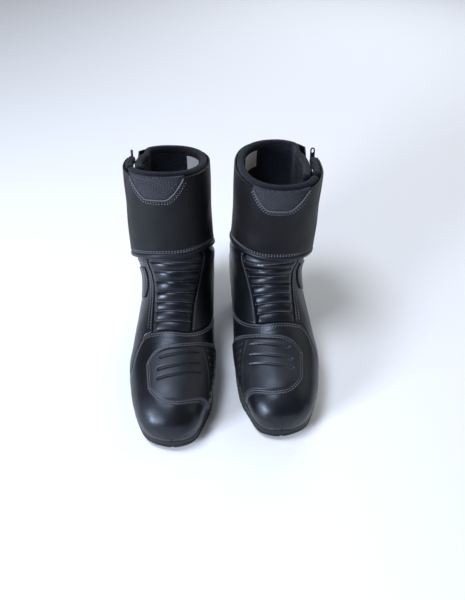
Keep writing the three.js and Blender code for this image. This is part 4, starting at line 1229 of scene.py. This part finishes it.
# [out from the plan line in mm, share of the rim's height, rise over that in mm]
MIDSOLE_WALL = np.array([
    [-5.0, 0, 0], [2.2, 0, 0], [2.8, 0, 0.35], [3.0, 0, 1.0], [3.0, 0.3, 0], [3.0, 0.55, 0], [3.0, 1, -4.6],
    [2.75, 1, -4.2], [2.35, 1, -3.9], [2.35, 1, -3.5], [2.8, 1, -3.2], [3.0, 1, -2.8], [3.0, 1, -1.6],
    [2.8, 1, -0.8], [2.3, 1, -0.25], [1.7, 1, 0], [1.4, 1, -0.1], [1.2, 1, -0.7], [1.0, 1, -0.9],
    [0.8, 1, -0.5], [0.2, 1, -0.3], [-1.0, 1, -0.6], [-1.6, 1, -2.0], [-2.5, 1, -5.0], [-5.0, 1, -6.0],
])


def make_midsole(boot):
    line, out = sole_outline(boot)
    y = line[:, 1]
    low, high = profile_at(SOLE_JOINT, y) + SOLE_GAP, profile_at(MIDSOLE_TOP, y)
    rows = [np.column_stack([line + out * offset, lerp(low, high, share) + extra])
            for offset, share, extra in MIDSOLE_WALL]
    rows.append(rows[0])
    grid = np.stack(rows)
    run = cumulative(np.vstack([line, line[:1]]), 0)[:-1]
    uv = np.stack([np.broadcast_to(run, grid.shape[:2]), grid[..., 2]], -1).reshape(-1, 2)
    faces = grid_faces(*grid.shape[:2], 0, True)
    add_piece(boot, "midsole_rim", grid.reshape(-1, 3), faces, "sole", "rubber", ["midsole"], uv, sharp=45)


TREAD = np.array([24, 38, 52, 66, 182, 196, 210, 224, 238, 252])
TREAD_DEPTH = 3
SOLE_COLUMNS = np.concatenate([[0, 0.008, 0.02, 0.04], np.linspace(0.07, 0.93, 30), [0.96, 0.98, 0.992, 1]])
# Shares of the outsole's wall height, each with how far the wall is set in there, in mm
WALL_GROOVE = {0.12: 0, 0.35: 0, 0.4: 0.9, 0.45: 0.9, 0.5: 0, 0.75: 0, 0.94: 0, 1.0: 0.5}


def make_outsole(boot):
    line, out = sole_outline(boot, 720)
    edge = line + out * WELT
    toe, heel = np.argmin(edge[:, 1]), np.argmax(edge[:, 1])
    order = np.roll(np.arange(len(edge)), -toe)
    turn = np.where(order == heel)[0][0]
    halves = (order[: turn + 1], np.append(order[turn:], order[0])[::-1])
    y = edge[toe, 1] + (edge[heel, 1] - edge[toe, 1]) * (0.5 - 0.5 * np.cos(np.linspace(0, np.pi, 90)))
    for at in TREAD:
        for offset in (-2.2, -1.9, -1.5, -0.8, 0.8, 1.5, 1.9, 2.2):
            y = np.append(y, MID_FOOT - at + offset)
    y = np.unique(np.round(np.clip(y, edge[toe, 1], edge[heel, 1]), 4))
    sides = [[np.interp(y, edge[half, 1], values[half]) for values in (edge[:, 0], out[:, 0], out[:, 1])]
             for half in halves]
    a, b = sides[0][0], sides[1][0]
    from_heel = MID_FOOT - y
    tread = np.zeros_like(y)
    for at in TREAD:
        tread = np.maximum(tread, TREAD_DEPTH * (1 - smooth(np.abs(from_heel - at), 1.4, 2.0)))
    ground, top = profile_at(GROUND, y), profile_at(SOLE_JOINT, y)
    width = np.abs(b - a)
    loop = []
    for c in SOLE_COLUMNS:
        middle = 1 - smooth(np.abs(c - 0.5) * width, 1.3, 2.2)
        lift = np.maximum(tread, TREAD_DEPTH * middle * ((from_heel < 84) | (from_heel > 168)))
        z = ground + lift - rolled(np.minimum(c, 1 - c) * width, 1.2)
        loop.append(np.column_stack([lerp(a, b, c), y, z]))

    def wall(side, shares):
        for share in shares:
            x, flat_y = side[0] - side[1] * WALL_GROOVE[share], y - side[2] * WALL_GROOVE[share]
            loop.append(np.column_stack([x, flat_y, lerp(ground + np.minimum(tread, 1.2) + 1.2, top, share)]))

    wall(sides[1], list(WALL_GROOVE))
    for c in SOLE_COLUMNS[::-1][1:-1]:
        loop.append(np.column_stack([lerp(a, b, c), y, top]))
    wall(sides[0], list(WALL_GROOVE)[::-1])
    grid = np.stack(loop, 1)
    points, faces = grid.reshape(-1, 3), grid_faces(*grid.shape[:2], 0, True)
    add_piece(boot, "outsole_tread", points, faces, "sole", "rubber", ["outsole"], points[:, :2])


# ---- Both boots ----------------------------------------------------------------------
for boot in BOOTS:
    make_vamp(boot)
    make_bellows(boot)
    make_quarter(boot, 1, "quarter_inner")
    make_quarter(boot, -1, "quarter_outer")
    for make in (make_heel_cap, make_rear_bellows, make_pad, make_guard, make_end_tab, make_shin,
                 make_insert, make_rear, make_flap, make_collar, make_lining, make_footbed, make_label,
                 make_tape, make_coil, make_midsole, make_outsole):
        make(boot)
    finish_threads(boot, "stitching", "boot")
    finish_threads(boot, "flap_stitching", "flap")
    for hidden, look in (("toe_puff", "stiffener"), ("heel_counter", "stiffener"), ("insole_board", "board"),
                         ("hook_strip", "hook"), ("loop_strip", "hook")):
        dress(boot, hidden, look)
    dress(boot, "zip_slider", "metal", 0.35)
    dress(boot, "zip_pull", "band", 0.35)


# ---- Stage ---------------------------------------------------------------------------
def plain_floor():
    mesh = bpy.data.meshes.new("floor")
    half = 6.0
    corners = [(-half, -half, 0), (half, -half, 0), (half, half, 0), (-half, half, 0)]
    mesh.from_pydata(corners, [], [(0, 1, 2, 3)])
    mesh.materials.append(Shader("pale_floor", (0.86, 0.86, 0.86), 0.9).material)
    floor = bpy.data.objects.new("floor", mesh)
    bpy.context.scene.collection.objects.link(floor)


def soft_light(name, place, size, power, color, target=(0, 0, 0.12)):
    data = bpy.data.lights.new(name, "AREA")
    data.energy, data.size, data.color = power, size, color
    lamp = bpy.data.objects.new(name, data)
    lamp.location = place
    lamp.rotation_euler = (Vector(target) - Vector(place)).to_track_quat("-Z", "Y").to_euler()
    bpy.context.scene.collection.objects.link(lamp)


plain_floor()
soft_light("key", (-1.15, -1.05, 0.55), 0.45, 36, (0.74, 0.82, 1.0))
soft_light("top", (-0.45, -0.3, 1.6), 0.5, 20, (0.78, 0.85, 1.0))
soft_light("side", (1.3, 0.1, 0.9), 1.0, 3, (1.0, 0.94, 0.86))
soft_light("back", (0.5, 1.5, 1.1), 1.2, 14, (0.86, 0.92, 1.0))
world = bpy.data.worlds.new("studio")
world.use_nodes = True
world.node_tree.nodes["Background"].inputs["Color"].default_value = (0.95, 0.97, 1.0, 1)
world.node_tree.nodes["Background"].inputs["Strength"].default_value = 0.16
bpy.context.scene.world = world

camera_data = bpy.data.cameras.new("camera")
camera_data.lens, camera_data.sensor_width = 36, 36
camera = bpy.data.objects.new("camera", camera_data)
camera.location = (0.0106, -0.564, 0.652)
tilt, roll = np.pi / 2 - 0.762, 0.008
camera.rotation_mode = "QUATERNION"
camera.rotation_quaternion = (Matrix.Rotation(tilt, 3, "X") @ Matrix.Rotation(roll, 3, "Z")).to_quaternion()
bpy.context.scene.collection.objects.link(camera)
bpy.context.scene.camera = camera
bpy.context.scene.view_settings.view_transform = "Standard"
